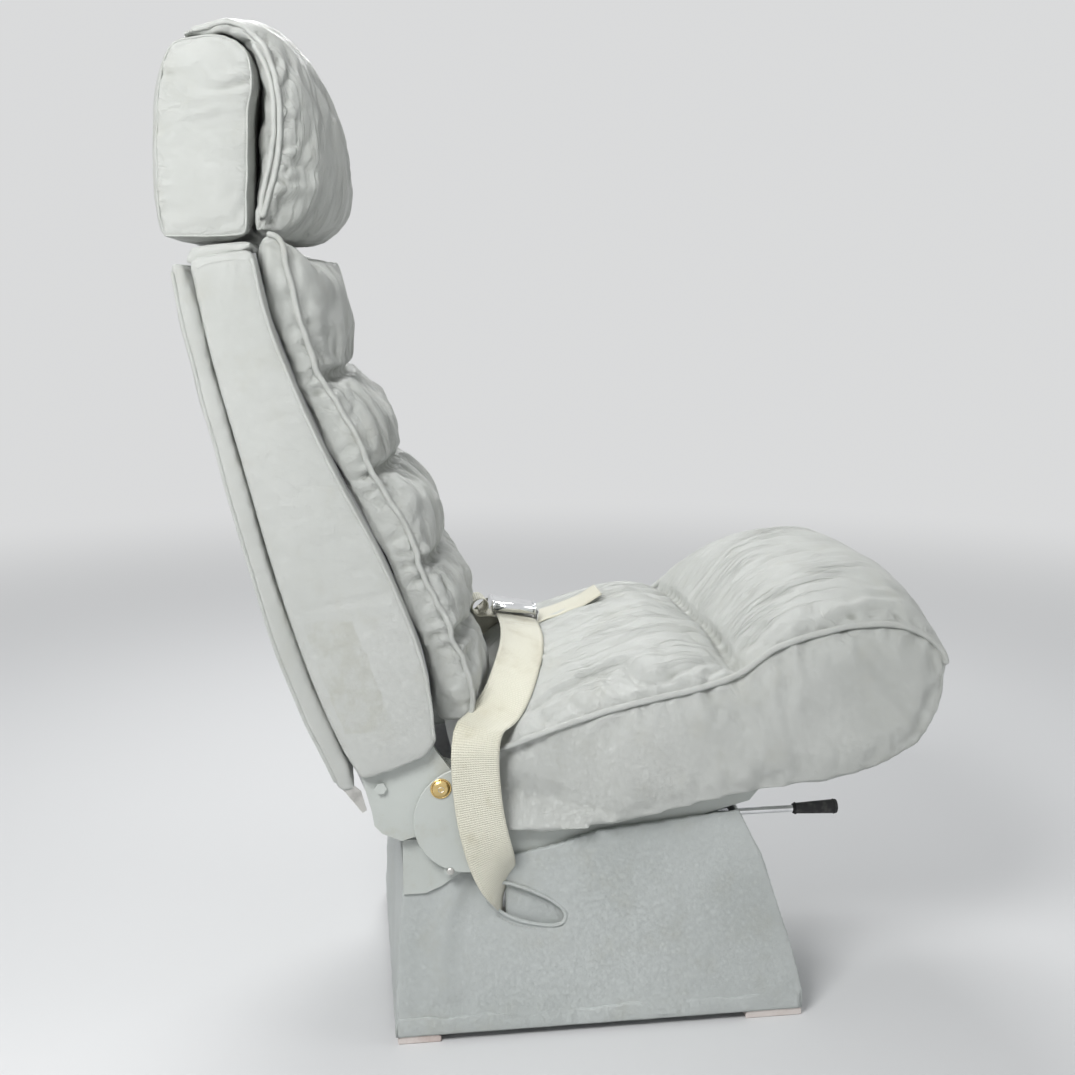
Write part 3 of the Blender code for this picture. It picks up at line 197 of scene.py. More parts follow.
grain_group, start, end = group("leather_grain", [("Grain", "f"), ("Crease", "f")],
                                [("Height", "f"), ("Pits", "f")])
where = add(grain_group, "TexCoord").outputs["Object"]
warp = add(grain_group, "TexNoise", [("Vector", where), ("Scale", 60.0), ("Detail", 2.0)])
shift = add(grain_group, "VectorMath", [(0, warp.outputs["Color"]), (1, (0.006, 0.006, 0.006))],
            operation="MULTIPLY")
bent = add(grain_group, "VectorMath", [(0, where), (1, warp.outputs["Color"]),
                                       (2, shift.outputs[0])], operation="MULTIPLY_ADD")
cells = add(grain_group, "TexVoronoi", [("Vector", bent.outputs[0]),
                                        ("Scale", start.outputs["Grain"])],
            feature="DISTANCE_TO_EDGE")
fine = noise(grain_group, where, 1400.0, 3.0)
lines = noise(grain_group, where, 95.0, 5.0, roughness=0.62, distortion=0.6)
cracks = sums(grain_group, "ABSOLUTE", sums(grain_group, "SUBTRACT", lines, 0.5))
cracks = spread(grain_group, cracks, 0.0, 0.022, 1.0, 0.0)
pits = spread(grain_group, cells.outputs["Distance"], 0.02, 0.16, 0.0, 1.0)
height = sums(grain_group, "MULTIPLY", pits, 0.55)
height = sums(grain_group, "MULTIPLY_ADD", fine, 0.25, height)
deep = sums(grain_group, "MULTIPLY", cracks, start.outputs["Crease"])
height = sums(grain_group, "SUBTRACT", height, deep)
grain_group.links.new(height, end.inputs["Height"])
grain_group.links.new(pits, end.inputs["Pits"])

soil_group, start, end = group("soiling", [("Clean", "c"), ("Shade", "c"), ("Soil", "c"),
                                           ("Amount", "f")], [("Colour", "c"), ("Mask", "f")])
where = add(soil_group, "TexCoord").outputs["Object"]
broad = noise(soil_group, where, 5.5, 4.0)
patchy = noise(soil_group, where, 22.0, 6.0, roughness=0.65)
specks = noise(soil_group, where, 260.0, 3.0)
tone = mixed(soil_group, spread(soil_group, broad, 0.35, 0.68),
             start.outputs["Clean"], start.outputs["Shade"])
mask = sums(soil_group, "MULTIPLY", spread(soil_group, patchy, 0.50, 0.78),
            start.outputs["Amount"])
tone = mixed(soil_group, mask, tone, start.outputs["Soil"])
dots = sums(soil_group, "MULTIPLY", spread(soil_group, specks, 0.66, 0.74), 0.35)
dots = sums(soil_group, "MULTIPLY", dots, start.outputs["Amount"])
tone = mixed(soil_group, dots, tone, start.outputs["Soil"])
soil_group.links.new(tone, end.inputs["Colour"])
soil_group.links.new(mask, end.inputs["Mask"])

# The wrinkles' Height feeds the bump, and their Line is the crease mask along which the leathers
# paint shade.
wrinkle_group, start, end = group("wrinkles", [], [("Height", "f"), ("Line", "f")])
where = add(wrinkle_group, "TexCoord").outputs["Object"]
total, drawn_in = None, None
for attribute, stretch, size, depth in (("folds_long", (1.0, 0.075, 0.085), 88.0, 0.0019),
                                        ("folds_edge", (0.16, 0.62, 1.0), 64.0, 0.0016)):
    drawn = add(wrinkle_group, "Mapping", [("Vector", where), ("Scale", stretch)]).outputs[0]
    wavy = noise(wrinkle_group, drawn, size, 2.5, roughness=0.55, distortion=0.35)
    ridge = sums(wrinkle_group, "ABSOLUTE", sums(wrinkle_group, "SUBTRACT", wavy, 0.5))
    line = spread(wrinkle_group, ridge, 0.0, 0.085, 1.0, 0.0)
    share = add(wrinkle_group, "Attribute", attribute_name=attribute).outputs["Fac"]
    line = sums(wrinkle_group, "MULTIPLY", line, share)
    height = sums(wrinkle_group, "MULTIPLY", line, -depth)
    total = height if total is None else sums(wrinkle_group, "ADD", total, height)
    drawn_in = line if drawn_in is None else sums(wrinkle_group, "MAXIMUM", drawn_in, line)
wrinkle_group.links.new(total, end.inputs["Height"])
wrinkle_group.links.new(drawn_in, end.inputs["Line"])


def use(tree, made, **inputs):
    """A node that places a shared group, with its values."""
    node = tree.nodes.new("ShaderNodeGroup")
    node.node_tree = made
    for label, source in inputs.items():
        if isinstance(source, bpy.types.NodeSocket):
            tree.links.new(source, node.inputs[label])
        else:
            node.inputs[label].default_value = source
    return node


def emboss(tree, shader, height, distance):
    """A height taken into a shader's normals."""
    raised = add(tree, "Bump", [("Height", height), ("Distance", distance)])
    tree.links.new(raised.outputs["Normal"], shader.inputs["Normal"])


GRAIN_DIRT = (0.30, 0.32, 0.29, 1.0)
# Painted shade: a darker colour laid into the cover's hollows, where shade would fall.
PAINTED_HOLLOW_SHADE = (0.33, 0.345, 0.30, 1.0)
# Painted shade colour for the fine creases, and how strongly it is laid in.
CREASE_SHADE = (0.36, 0.38, 0.34, 1.0)
CREASE_SHADE_SHARE = 0.22


def leather(name, clean, shade, soil, amount=0.28, grain=520.0, crease=0.5, rough=0.42,
            bump=0.00035, hollow_shade_share=0.55):
    """Grained leather with tone, soiling and fine creases of its own, and painted shade in its
    hollows and along its creases.
    """
    made, tree, shader = finish(name, rough)
    surface = use(tree, grain_group, Grain=grain, Crease=crease)
    dirt = use(tree, soil_group, Clean=clean, Shade=shade, Soil=soil, Amount=amount)
    dark = mixed(tree, spread(tree, surface.outputs["Pits"], 0.0, 0.5, 0.10, 0.0),
                 dirt.outputs["Colour"], GRAIN_DIRT)
    # Painted shade in the hollows, where pointiness is low.
    hollow_shade = add(tree, "NewGeometry").outputs["Pointiness"]
    hollow_shade = sums(tree, "MULTIPLY", spread(tree, hollow_shade, 0.44, 0.495, 1.0, 0.0), hollow_shade_share)
    dark = mixed(tree, hollow_shade, dark, PAINTED_HOLLOW_SHADE)
    # Painted shade along the fine creases, from the wrinkles' line mask.
    wrinkled = use(tree, wrinkle_group)
    crease_shade = sums(tree, "MULTIPLY", wrinkled.outputs["Line"], CREASE_SHADE_SHARE)
    dark = mixed(tree, crease_shade, dark, CREASE_SHADE)
    tree.links.new(dark, shader.inputs["Base Color"])
    sheen = sums(tree, "MULTIPLY_ADD", surface.outputs["Pits"], -0.06, rough + 0.05)
    tree.links.new(sheen, shader.inputs["Roughness"])
    drawn = add(tree, "Bump", [("Height", wrinkled.outputs["Height"]), ("Distance", 1.0)])
    raised = add(tree, "Bump", [("Height", surface.outputs["Height"]), ("Distance", bump),
                                ("Normal", drawn.outputs["Normal"])])
    tree.links.new(raised.outputs["Normal"], shader.inputs["Normal"])
    shader.inputs["Specular IOR Level"].default_value = 0.42
    return made


LEATHER_CLEAN = (0.705, 0.722, 0.690, 1.0)
LEATHER_SHADE = (0.655, 0.674, 0.640, 1.0)
LEATHER_SOIL = (0.610, 0.605, 0.520, 1.0)
seat_leather = leather("seat_leather", LEATHER_CLEAN, LEATHER_SHADE, LEATHER_SOIL)

# Side view points are (forward, height) pairs. Their lengths run forward, in
# the direction of -Y, from a line behind the frame's origin by this much.

MIDDLE_FORWARD = 0.186


def spot(x, forward, height):
    """A point of the seat from its side view lengths."""
    return Vector((x, MIDDLE_FORWARD - forward, height))


def spots(x, line):
    """A side view line at a sideways place, as an array of points."""
    line = np.asarray(line, dtype=float)
    across = np.full(len(line), x) if np.isscalar(x) else np.asarray(x)
    return np.stack([across, MIDDLE_FORWARD - line[:, 0], line[:, 1]], axis=1)


def eased(line, count, rounds=3, closed=False):
    """A line with its corners cut away three times, read at even steps."""
    points = np.asarray(line, dtype=float)
    for _ in range(rounds):
        if closed:
            after = np.roll(points, -1, axis=0)
            points = np.stack([points * 0.75 + after * 0.25,
                               points * 0.25 + after * 0.75], axis=1).reshape(-1, points.shape[1])
        else:
            inner = np.stack([points[:-1] * 0.75 + points[1:] * 0.25,
                              points[:-1] * 0.25 + points[1:] * 0.75], axis=1)
            inner = inner.reshape(-1, points.shape[1])
            points = np.vstack([points[:1], inner, points[-1:]])
    if closed:
        points = np.vstack([points, points[:1]])
    gone = np.concatenate([[0], np.cumsum(np.linalg.norm(np.diff(points, axis=0), axis=1))])
    steps = np.linspace(0, gone[-1], count + 1 if closed else count)
    read = np.stack([np.interp(steps, gone, column) for column in points.T], axis=1)
    return read[:-1] if closed else read


def ease(value, low, high):
    """A smooth step from 0 to 1 between two values."""
    share = np.clip((np.asarray(value, dtype=float) - low) / (high - low), 0.0, 1.0)
    return share * share * (3 - 2 * share)


def smooth_faces(mesh):
    """Every face of the mesh shaded as part of a round surface."""
    mesh.polygons.foreach_set("use_smooth", [True] * len(mesh.polygons))


def piece_of(name, mesh, material, body, smooth=True):
    """An object for a mesh of the same name, with its material and slot, riding on a body."""
    mesh.name = name
    made = bpy.data.objects.new(name, mesh)
    scene.collection.objects.link(made)
    mesh.materials.clear()
    mesh.materials.append(material)
    if smooth:
        smooth_faces(mesh)
    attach(made, body)
    return made


def ring_faces(rows, count, caps=True):
    """The faces between rings of equal count, each joined to the next, and of the flat ends."""
    index = np.arange(count)
    after = np.roll(index, -1)
    start = np.arange(rows - 1)[:, None] * count
    quads = np.stack([start + index, start + after, start + count + after,
                      start + count + index], axis=-1)
    faces = quads.reshape(-1, 4).tolist()
    if caps:
        faces += [index[::-1].tolist(), ((rows - 1) * count + index).tolist()]
    return faces


def lattice(rings, caps=True):
    """A mesh through rings of equal count, closed with flat ends or a last ring like the first."""
    rings = np.asarray(rings, dtype=float)
    faces = ring_faces(*rings.shape[:2], caps)
    mesh = bpy.data.meshes.new("form")
    mesh.from_pydata(rings.reshape(-1, 3).tolist(), [], faces)
    return outward(mesh)


def outward(mesh):
    """The mesh with every face turned outwards."""
    shell = bmesh.new()
    shell.from_mesh(mesh)
    bmesh.ops.remove_doubles(shell, verts=shell.verts, dist=1e-7)
    bmesh.ops.recalc_face_normals(shell, faces=shell.faces)
    if shell.calc_volume(signed=True) < 0:
        bmesh.ops.reverse_faces(shell, faces=shell.faces)
    shell.to_mesh(mesh)
    shell.free()
    mesh.update()
    return mesh


def tube(path, radius, sides=10, closed=False, flat=1.0):
    """A mesh of circles round a path, their ends drawn in to a round tip.

    The circle's first axis stays square to the path by turning as little as
    it can from one point to the next, and flat narrows the circle along it.
    """
    path = np.asarray(path, dtype=float)
    ahead = np.gradient(path, axis=0)
    if closed:
        ahead = np.roll(path, -1, axis=0) - np.roll(path, 1, axis=0)
    ahead /= np.linalg.norm(ahead, axis=1)[:, None]
    up = np.array([0.0, 0.0, 1.0]) if abs(ahead[0][2]) < 0.9 else np.array([1.0, 0.0, 0.0])
    angles = np.linspace(0, 2 * math.pi, sides, endpoint=False)
    radii = np.broadcast_to(np.asarray(radius, dtype=float), (len(path),))
    rings = []
    for index, (point, way) in enumerate(zip(path, ahead)):
        up = up - way * np.dot(up, way)
        up = up / np.linalg.norm(up)
        side = np.cross(way, up)
        rings.append(point + radii[index] * (np.outer(np.cos(angles), up) * flat
                                             + np.outer(np.sin(angles), side)))
    if closed:
        rings.append(rings[0])
        return lattice(rings, caps=False)
    tips = []
    for ring, way, centre, turn in ((rings[0], -ahead[0], path[0], 1),
                                    (rings[-1], ahead[-1], path[-1], -1)):
        size = radii[0] if turn > 0 else radii[-1]
        tips.append([centre + (ring - centre) * math.cos(step) + way * size * math.sin(step)
                     for step in (0.5, 1.0, 1.35)])
    return lattice(tips[0][::-1] + rings + tips[1])


def baked(piece):
    """The piece's mesh with its modifiers applied."""
    seen = piece.evaluated_get(bpy.context.evaluated_depsgraph_get())
    fresh = bpy.data.meshes.new_from_object(seen)
    piece.modifiers.clear()
    piece.data = fresh
    return piece


def spots_of(mesh, what="co"):
    """The mesh's points as an array, or their normals."""
    flat = np.empty(len(mesh.vertices) * 3)
    mesh.vertices.foreach_get(what, flat)
    return flat.reshape(-1, 3)


def surface_of(piece):
    """A piece's points and the normals there."""
    return spots_of(piece.data), spots_of(piece.data, "normal")


def place_all(mesh, points):
    """The mesh's points set from an array."""
    mesh.vertices.foreach_set("co", np.ascontiguousarray(points).reshape(-1))
    mesh.update()


def away_from(points, lines):
    """Each point's distance from the nearest of some lines of points, 1 m at most."""
    nearest = np.full(len(points), 1.0)
    for line in lines:
        for a, b in zip(line[:-1], line[1:]):
            run = b - a
            share = np.clip(((points - a) @ run) / max(run @ run, 1e-12), 0, 1)
            far = np.linalg.norm(points - (a + share[:, None] * run), axis=1)
            nearest = np.minimum(nearest, far)
    return nearest


def bell(value, width):
    """A smooth hump: 1 where the value is 0, about a third where it is the width."""
    return np.exp(-(value / width) ** 2)


def soften(piece, voxel, most, seams, growth=0.03, pressure=4.0, bend=0.15, held=0.004):
    """A sewn cover blown up over its filling, with its seams held.

    The form is remeshed evenly and stepped as cloth that is a little larger
    than the form, so it swells between its seams and gathers beside them. No
    point moves further than the given distance. One subdivision follows.
    """
    cut = piece.modifiers.new("even", "REMESH")
    cut.mode = "VOXEL"
    cut.voxel_size = voxel
    baked(piece)
    before = spots_of(piece.data)
    pins = piece.vertex_groups.new(name="sewn")
    weights = 1.0 - ease(away_from(before, seams), held, held * 2.5)
    for index in np.nonzero(weights > 0.01)[0]:
        pins.add([int(index)], float(weights[index]), "REPLACE")
    cloth = piece.modifiers.new("cover", "CLOTH")
    ask = cloth.settings
    ask.quality = 5
    ask.mass = 0.3
    ask.tension_stiffness = 15
    ask.compression_stiffness = 15
    ask.shear_stiffness = 5
    ask.bending_stiffness = bend
    ask.shrink_min = -growth
    ask.use_pressure = True
    ask.uniform_pressure_force = pressure
    ask.effector_weights.gravity = 0
    ask.vertex_group_mass = "sewn"
    cloth.collision_settings.use_collision = False
    cloth.point_cache.frame_start = 1
    cloth.point_cache.frame_end = 20
    for step in range(1, 21):
        scene.frame_set(step)
    swollen = bpy.data.meshes.new_from_object(
        piece.evaluated_get(bpy.context.evaluated_depsgraph_get()))
    moved = spots_of(swollen) - before
    bpy.data.meshes.remove(swollen)
    piece.modifiers.clear()
    piece.vertex_groups.clear()
    length = np.linalg.norm(moved, axis=1)
    held_back = np.minimum(1.0, most / np.maximum(length, 1e-9))
    place_all(piece.data, before + moved * held_back[:, None])
    scene.frame_set(1)
    finer = piece.modifiers.new("finer", "SUBSURF")
    finer.levels = 1
    finer.render_levels = 1
    baked(piece)
    smooth_faces(piece.data)
    return piece


def press(piece, depth):
    """Each point moved along its normal by a depth worked out from all points."""
    points, normals = surface_of(piece)
    place_all(piece.data, points + normals * depth(points, normals)[:, None])
    return piece


def wrinkle(mesh, **shares):
    """How strongly each pattern of fine wrinkles shows at each point, kept for the leather."""
    for name, share in shares.items():
        kept = mesh.attributes.new(name, "FLOAT", "POINT")
        kept.data.foreach_set("value", np.clip(share, 0.0, 1.0).astype(np.float32))


def waves(points, direction, length, seed, warp=0.35, pinched=False):
    """Irregular ripples across a direction, between -1 and 1.

    Pinched ripples are round on top and sharp at the bottom, as gathers are.
    """
    along = points @ np.asarray(direction, dtype=float)
    drift = np.zeros(len(points))
    for step, (size, share) in enumerate(((2.9, 0.55), (5.3, 0.30), (1.7, 0.15))):
        turn = seed * 1.7 + step * 2.1
        way = np.array([math.cos(turn), math.sin(turn * 1.3), math.sin(turn)])
        drift += share * np.sin(points @ way * (2 * math.pi / (length * size)) + turn * 3)
    phase = 2 * math.pi * along / length + drift * warp * 2 * math.pi
    ripple = np.sin(phase)
    second = np.sin(phase * 0.618 + seed)
    if pinched:
        ripple = 2.2 * np.abs(np.sin(phase / 2)) ** 0.75 - 1.4
        second = 2.2 * np.abs(np.sin(phase * 0.309 + seed)) ** 0.75 - 1.4
    return 0.65 * ripple + 0.35 * second


def lumps(points, length, seed):
    """Soft uneven swelling between -1 and 1, from crossed sines."""
    total = np.zeros(len(points))
    for step in range(5):
        turn = seed + step * 2.4
        way = np.array([math.sin(turn * 1.1), math.cos(turn), math.sin(turn * 0.7 + 1.0)])
        total += np.sin(points @ way * (2 * math.pi / (length * (0.8 + 0.17 * step))) + turn * 5)
    return total / 3.2


def laid(path, piece, lift=0.0):
    """A path set down on the nearest part of a piece, and its normals there."""
    tree = BVHTree.FromObject(piece, bpy.context.evaluated_depsgraph_get())
    points, normals = [], []
    for point in path:
        found, normal, _, _ = tree.find_nearest(Vector(point))
        points.append(np.array(found) + np.array(normal) * lift)
        normals.append(np.array(normal))
    return smoothed(points, 2), smoothed(normals, 3)


def smoothed(points, rounds):
    """A path with each inner point drawn towards its neighbours."""
    points = np.asarray(points, dtype=float)
    for _ in range(rounds):
        points[1:-1] = points[1:-1] * 0.5 + (points[:-2] + points[2:]) * 0.25
    return points


def piping(name, seam, cover, lift, radius, body, closed=False):
    """Leather piping laid along a seam of a cover, its middle lifted off the surface."""
    path, _ = laid(seam, cover, lift)
    piece_of(name, tube(path, radius, 10, closed), seat_leather, body)


def block_form(side_line, middle_line, half, power=3.0, columns=28, rounding=None):
    """A closed form between a side outline and a middle outline of equal count.

    From the middle to the side the outline changes by one less the share of
    the half width raised to a power.
    """
    shares = np.sin(np.linspace(-math.pi / 2, math.pi / 2, columns + 1))
    rings = []
    for share in shares:
        weight = 1 - abs(share) ** power
        line = side_line + (middle_line - side_line) * weight
        width = np.full(len(line), half * share) if rounding is None else rounding(line, share)
        rings.append(spots(width, line))
    return lattice(rings)


def cross_seam(side_point, middle_point, half, reach):
    """A seam across a form made by block_form, between two of its outlines' points.

    It is held in single precision, like the meshes that it is compared with.
    """
    shares = np.linspace(-reach, reach, 41)
    weights = 1 - np.abs(shares) ** 3
    seam = spots(half * shares, side_point + (middle_point - side_point) * weights[:, None])
    return seam.astype(np.float32).astype(float)


def paired(points, count):
    """The side and middle outlines of a form, from rows of both, at equal steps."""
    table = np.array([row if len(row) == 4 else (*row, *row) for row in points])
    both = eased(table, count, rounds=3, closed=True)
    return both[:, :2], both[:, 2:]


SIDES = ((-1, "right"), (1, "left"))
SEAT_HALF = 0.2110
SEAT_REAR_HALF = 0.1830

# A form's rows hold a point of its side outline, and where the middle outline
# differs from it, that one's point too.

SEAT_FORM = [(0.045, 0.262), (0.048, 0.292, 0.050, 0.300), (0.054, 0.316, 0.060, 0.334),
             (0.100, 0.340, 0.100, 0.352), (0.150, 0.359, 0.150, 0.402),
             (0.211, 0.378, 0.211, 0.424), (0.280, 0.391, 0.275, 0.440),
             (0.318, 0.399, 0.316, 0.442), (0.336, 0.404, 0.340, 0.424),
             (0.350, 0.411, 0.349, 0.422), (0.366, 0.424, 0.362, 0.452),
             (0.391, 0.440, 0.388, 0.484), (0.435, 0.453, 0.435, 0.500),
             (0.503, 0.461, 0.503, 0.508), (0.545, 0.450, 0.549, 0.494),
             (0.577, 0.426, 0.588, 0.462), (0.580, 0.400, 0.602, 0.420),
             (0.577, 0.379, 0.600, 0.388), (0.570, 0.357, 0.590, 0.358),
             (0.558, 0.332, 0.566, 0.334), (0.537, 0.313), (0.488, 0.293), (0.430, 0.285),
             (0.375, 0.278), (0.300, 0.264), (0.220, 0.249), (0.150, 0.242), (0.090, 0.245)]
seat_side, seat_middle = paired(SEAT_FORM, 150)


def seat_width(line, share):
    """The cushion's sideways place: narrow between the hinges, full ahead of them."""
    half = SEAT_REAR_HALF + (SEAT_HALF - SEAT_REAR_HALF) * ease(line[:, 0], 0.060, 0.112)
    return half * share


seat_cover = piece_of("seat_cover", block_form(seat_side, seat_middle, SEAT_HALF,
                                               rounding=seat_width),
                      seat_leather, "base")
seat_run = np.array([point for point in seat_side
                     if point[1] > 0.4120 or (point[0] < 0.40 and point[1] > 0.302)])
seat_seams = [spots(seat_width(seat_run, side), seat_run) for side in (-1, 1)]
groove_at = int(np.argmin(np.hypot(seat_middle[:, 0] - 0.348, seat_middle[:, 1] - 0.423)))
groove_seam = cross_seam(seat_side[groove_at], seat_middle[groove_at], SEAT_HALF, 1.0)
bottom_run = [point for point in seat_side if point[0] > 0.06 and point[1] < 0.372
              and point[0] < 0.575]
bottom_run = sorted(bottom_run, key=lambda point: point[0])
under_seams = [spots(seat_width(np.array(bottom_run), side), bottom_run) for side in (-1, 1)]
soften(seat_cover, 0.0060, 0.007, seat_seams + under_seams + [groove_seam], growth=0.022)


SEAT_GATHER = 0.0034
SEAT_RIPPLE = 0.0026
SEAT_PUCKER = 0.0018
SEAT_SLACK = 0.0018
SEAT_SIDE_FOLD = 0.0030
SEAT_NOSE_FOLD = 0.0017
GROOVE_DEPTH = 0.0080
SEAT_SEAM_DEPTH = 0.0030


def seat_folds(points, normals):
    """Fore and aft creases on the top, gathers at the groove and folds by the piping."""
    forward = MIDDLE_FORWARD - points[:, 1]
    top = ease(normals[:, 2], 0.25, 0.75)
    to_groove = away_from(points, [groove_seam])
    near = bell(to_groove, 0.055) * (0.55 + 0.45 * lumps(points, 0.11, 3.0))
    gathers = waves(points, (1, 0.12, 0), 0.020, 1.0, 0.5, True) * near * SEAT_GATHER
    crown = bell(forward - 0.23, 0.11) + bell(forward - 0.47, 0.085)
    long_way = waves(points, (1, -0.10, 0), 0.028, 4.0, 0.55) * crown * SEAT_RIPPLE
    edge = away_from(points, seat_seams)
    by_seam = bell(edge, 0.024)
    puckers = waves(points, (0.2, 1, 0.3), 0.026, 7.0, 0.6) * by_seam * SEAT_PUCKER
    side = ease(np.abs(normals[:, 0]), 0.6, 0.9)
    by_groove = bell(to_groove, 0.075)
    slack = waves(points, (0, 0.55, 0.83), 0.120, 2.0, 0.6) * side * SEAT_SLACK
    slack += waves(points, (0, 1, -0.35), 0.038, 2.0, 0.6) * side * by_groove * SEAT_SIDE_FOLD
    slack += (waves(points, (0, -0.80, 0.60), 0.066, 5.0, 0.7) * side
              * ease(forward, 0.33, 0.42) * SEAT_NOSE_FOLD)
    sunk = -GROOVE_DEPTH * bell(to_groove, 0.0075) - SEAT_SEAM_DEPTH * bell(edge, 0.0062)
    return top * (gathers + long_way) + puckers + slack + sunk + lumps(points, 0.19, 1.0) * 0.0015


def seat_wrinkles(points, normals):
    """Fine wrinkles: fore and aft over the crowns, short ones beside the piping."""
    forward = MIDDLE_FORWARD - points[:, 1]
    top = ease(normals[:, 2], 0.20, 0.60)
    crown = bell(forward - 0.25, 0.12) + bell(forward - 0.45, 0.11)
    edge = away_from(points, seat_seams)
    patchy = 0.55 + 0.75 * lumps(points, 0.13, 9.0)
    long_way = top * crown * patchy * ease(edge, 0.012, 0.045)
    short = bell(edge, 0.026) * (0.5 + 0.6 * lumps(points, 0.10, 4.0)) * top
    return long_way, short


press(seat_cover, seat_folds)
long_way, short = seat_wrinkles(*surface_of(seat_cover))
wrinkle(seat_cover.data, folds_long=long_way, folds_edge=short)
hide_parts("seat_cushion")
for (side, word), seam in zip(SIDES, seat_seams):
    piping(f"seat_piping_{word}", seam, seat_cover, 0.0028, 0.0034, "base")


# Back cushion
# Five soft pillows sewn into one cover by four cross seams that are pulled
# deep into the filling, with piped side panels. The leather gathers into
# short upright folds beside every cross seam.

BACK_HALF = 0.1860
HEADREST_HALF_WIDTH = 0.1480
BACK_EDGE = [(-0.124, 0.8485), (-0.1165, 0.8475), (-0.1120, 0.840), (-0.108, 0.795),
             (-0.092, 0.745), (-0.061, 0.686), (-0.028, 0.618), (0.006, 0.560),
             (0.022, 0.505), (0.050, 0.448), (0.064, 0.400), (0.068, 0.360)]
BACK_INSIDE = [(-0.133, 0.842), (-0.125, 0.785), (-0.096, 0.705), (-0.060, 0.623),
               (-0.025, 0.558), (0.003, 0.490), (0.025, 0.425), (0.031, 0.360)]
BACK_JOINTS = (0.722, 0.626, 0.530, 0.452)
BACK_LEVELS = (0.850,) + BACK_JOINTS + (0.356,)
BACK_EAR = 0.0125
BACK_DEEP = 0.036
BACK_PUFF = 0.020


def pillow_share(height):
    """How far a height is from its pillow's seams: 0 at a seam, 1 halfway."""
    total = np.zeros_like(height)
    for top, bottom in zip(BACK_LEVELS, BACK_LEVELS[1:]):
        share = np.clip((height - bottom) / (top - bottom), 0, 1)
        total += 2 * np.sqrt(np.maximum(share * (1 - share), 0)) * ((share > 0) & (share < 1))
    return total


def back_outlines():
    """Side and middle outlines of the back cushion, down its front and up its back."""
    front = eased(BACK_EDGE, 140)
    puff = pillow_share(front[:, 1])
    ends = ease(front[:, 1], 0.356, 0.375) * (1 - ease(front[:, 1], 0.835, 0.850))
    ahead = front.copy()
    ahead[:, 0] += (BACK_DEEP - 0.014 + BACK_PUFF * puff) * (0.35 + 0.65 * ends)
    ahead[:, 0] -= 0.017 * (1 - ease(front[:, 1], 0.385, 0.475))
    front[:, 0] += 0.004 * puff * ends
    rear = eased(BACK_INSIDE, 60)[::-1]
    return np.vstack([front, rear]), np.vstack([ahead, rear])


back_side, back_middle = back_outlines()


def back_width(line, share):
    """The cushion's sideways place, drawn in at its lowest corners."""
    return BACK_HALF * share * (1 - 0.06 * (1 - ease(line[:, 1], 0.352, 0.415)))


back_cover = piece_of("back_cover", block_form(back_side, back_middle, BACK_HALF,
                                               rounding=back_width),
                      seat_leather, "backrest")
back_edges = [spots(back_width(back_side[:140], side), back_side[:140]) for side in (-1, 1)]
inside_edges = [spots(back_width(back_side[140:], side), back_side[140:]) for side in (-1, 1)]
joint_seams = []
for height in BACK_JOINTS:
    at = int(np.argmin(np.abs(back_middle[:140, 1] - height)))
    joint_seams.append(cross_seam(back_side[at], back_middle[at], BACK_HALF, 0.97))
soften(back_cover, 0.0058, 0.012, back_edges + inside_edges + joint_seams, growth=0.050)


BACK_GATHER = 0.0034
BACK_RIPPLE = 0.0024
BACK_PUCKER = 0.0026
JOINT_DEPTH = 0.0100
BACK_SEAM_DEPTH = 0.0030


def back_folds(points, normals):
    """Upright gathers beside the cross seams and puckers along the piping."""
    ahead = ease(-normals[:, 1], 0.05, 0.6)
    far = away_from(points, joint_seams)
    strong = 0.55 + 0.45 * lumps(points, 0.09, 5.0)
    near = bell(far, 0.034) * strong
    gathers = waves(points, (1, 0, 0.15), 0.019, 2.0, 0.45, True) * near * BACK_GATHER
    broad = waves(points, (1, 0, -0.2), 0.036, 6.0, 0.6) * BACK_RIPPLE
    edge = away_from(points, back_edges)
    by_edge = bell(edge, 0.026) * (0.35 + 0.9 * bell(far, 0.030))
    puckers = waves(points, (0, 0.45, 1), 0.0220, 3.0, 0.45) * by_edge * BACK_PUCKER
    sunk = -JOINT_DEPTH * bell(far, 0.0068) * ahead - BACK_SEAM_DEPTH * bell(edge, 0.006)
    return ahead * (gathers + broad) + puckers + sunk + lumps(points, 0.13, 2.0) * 0.0012


def raise_ears(points):
    """The top corners beside the headrest stand up a little higher than the middle."""
    beside = ease(np.abs(points[:, 0]), HEADREST_HALF_WIDTH + 0.001, HEADREST_HALF_WIDTH + 0.016)
    raised = BACK_EAR * beside * ease(points[:, 2], 0.760, 0.848)
    return points + raised[:, None] * np.array([0.0, 0.10, 1.0])


place_all(back_cover.data, raise_ears(spots_of(back_cover.data)))
press(back_cover, back_folds)
points, normals = surface_of(back_cover)
far = away_from(points, joint_seams)
edge = away_from(points, [raise_ears(seam) for seam in back_edges])
upright = ease(-normals[:, 1], 0.05, 0.5) * (0.25 + bell(far, 0.045))
wrinkle(back_cover.data, folds_long=upright * (0.6 + 0.5 * lumps(points, 0.10, 6.0)),
         folds_edge=bell(edge, 0.034) * (0.15 + 0.7 * bell(far, 0.034)))
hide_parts("back_cushion")
for (side, word), seam in zip(SIDES, back_edges):
    piping(f"back_piping_{word}", raise_ears(seam), back_cover, 0.0019, 0.0030, "backrest")


# Headrest
# A padded block on two posts, and a soft pillow that is sewn along the
# block's top edge and hangs down its front. Both have piping along their
# sides, and the leather creases where it turns.

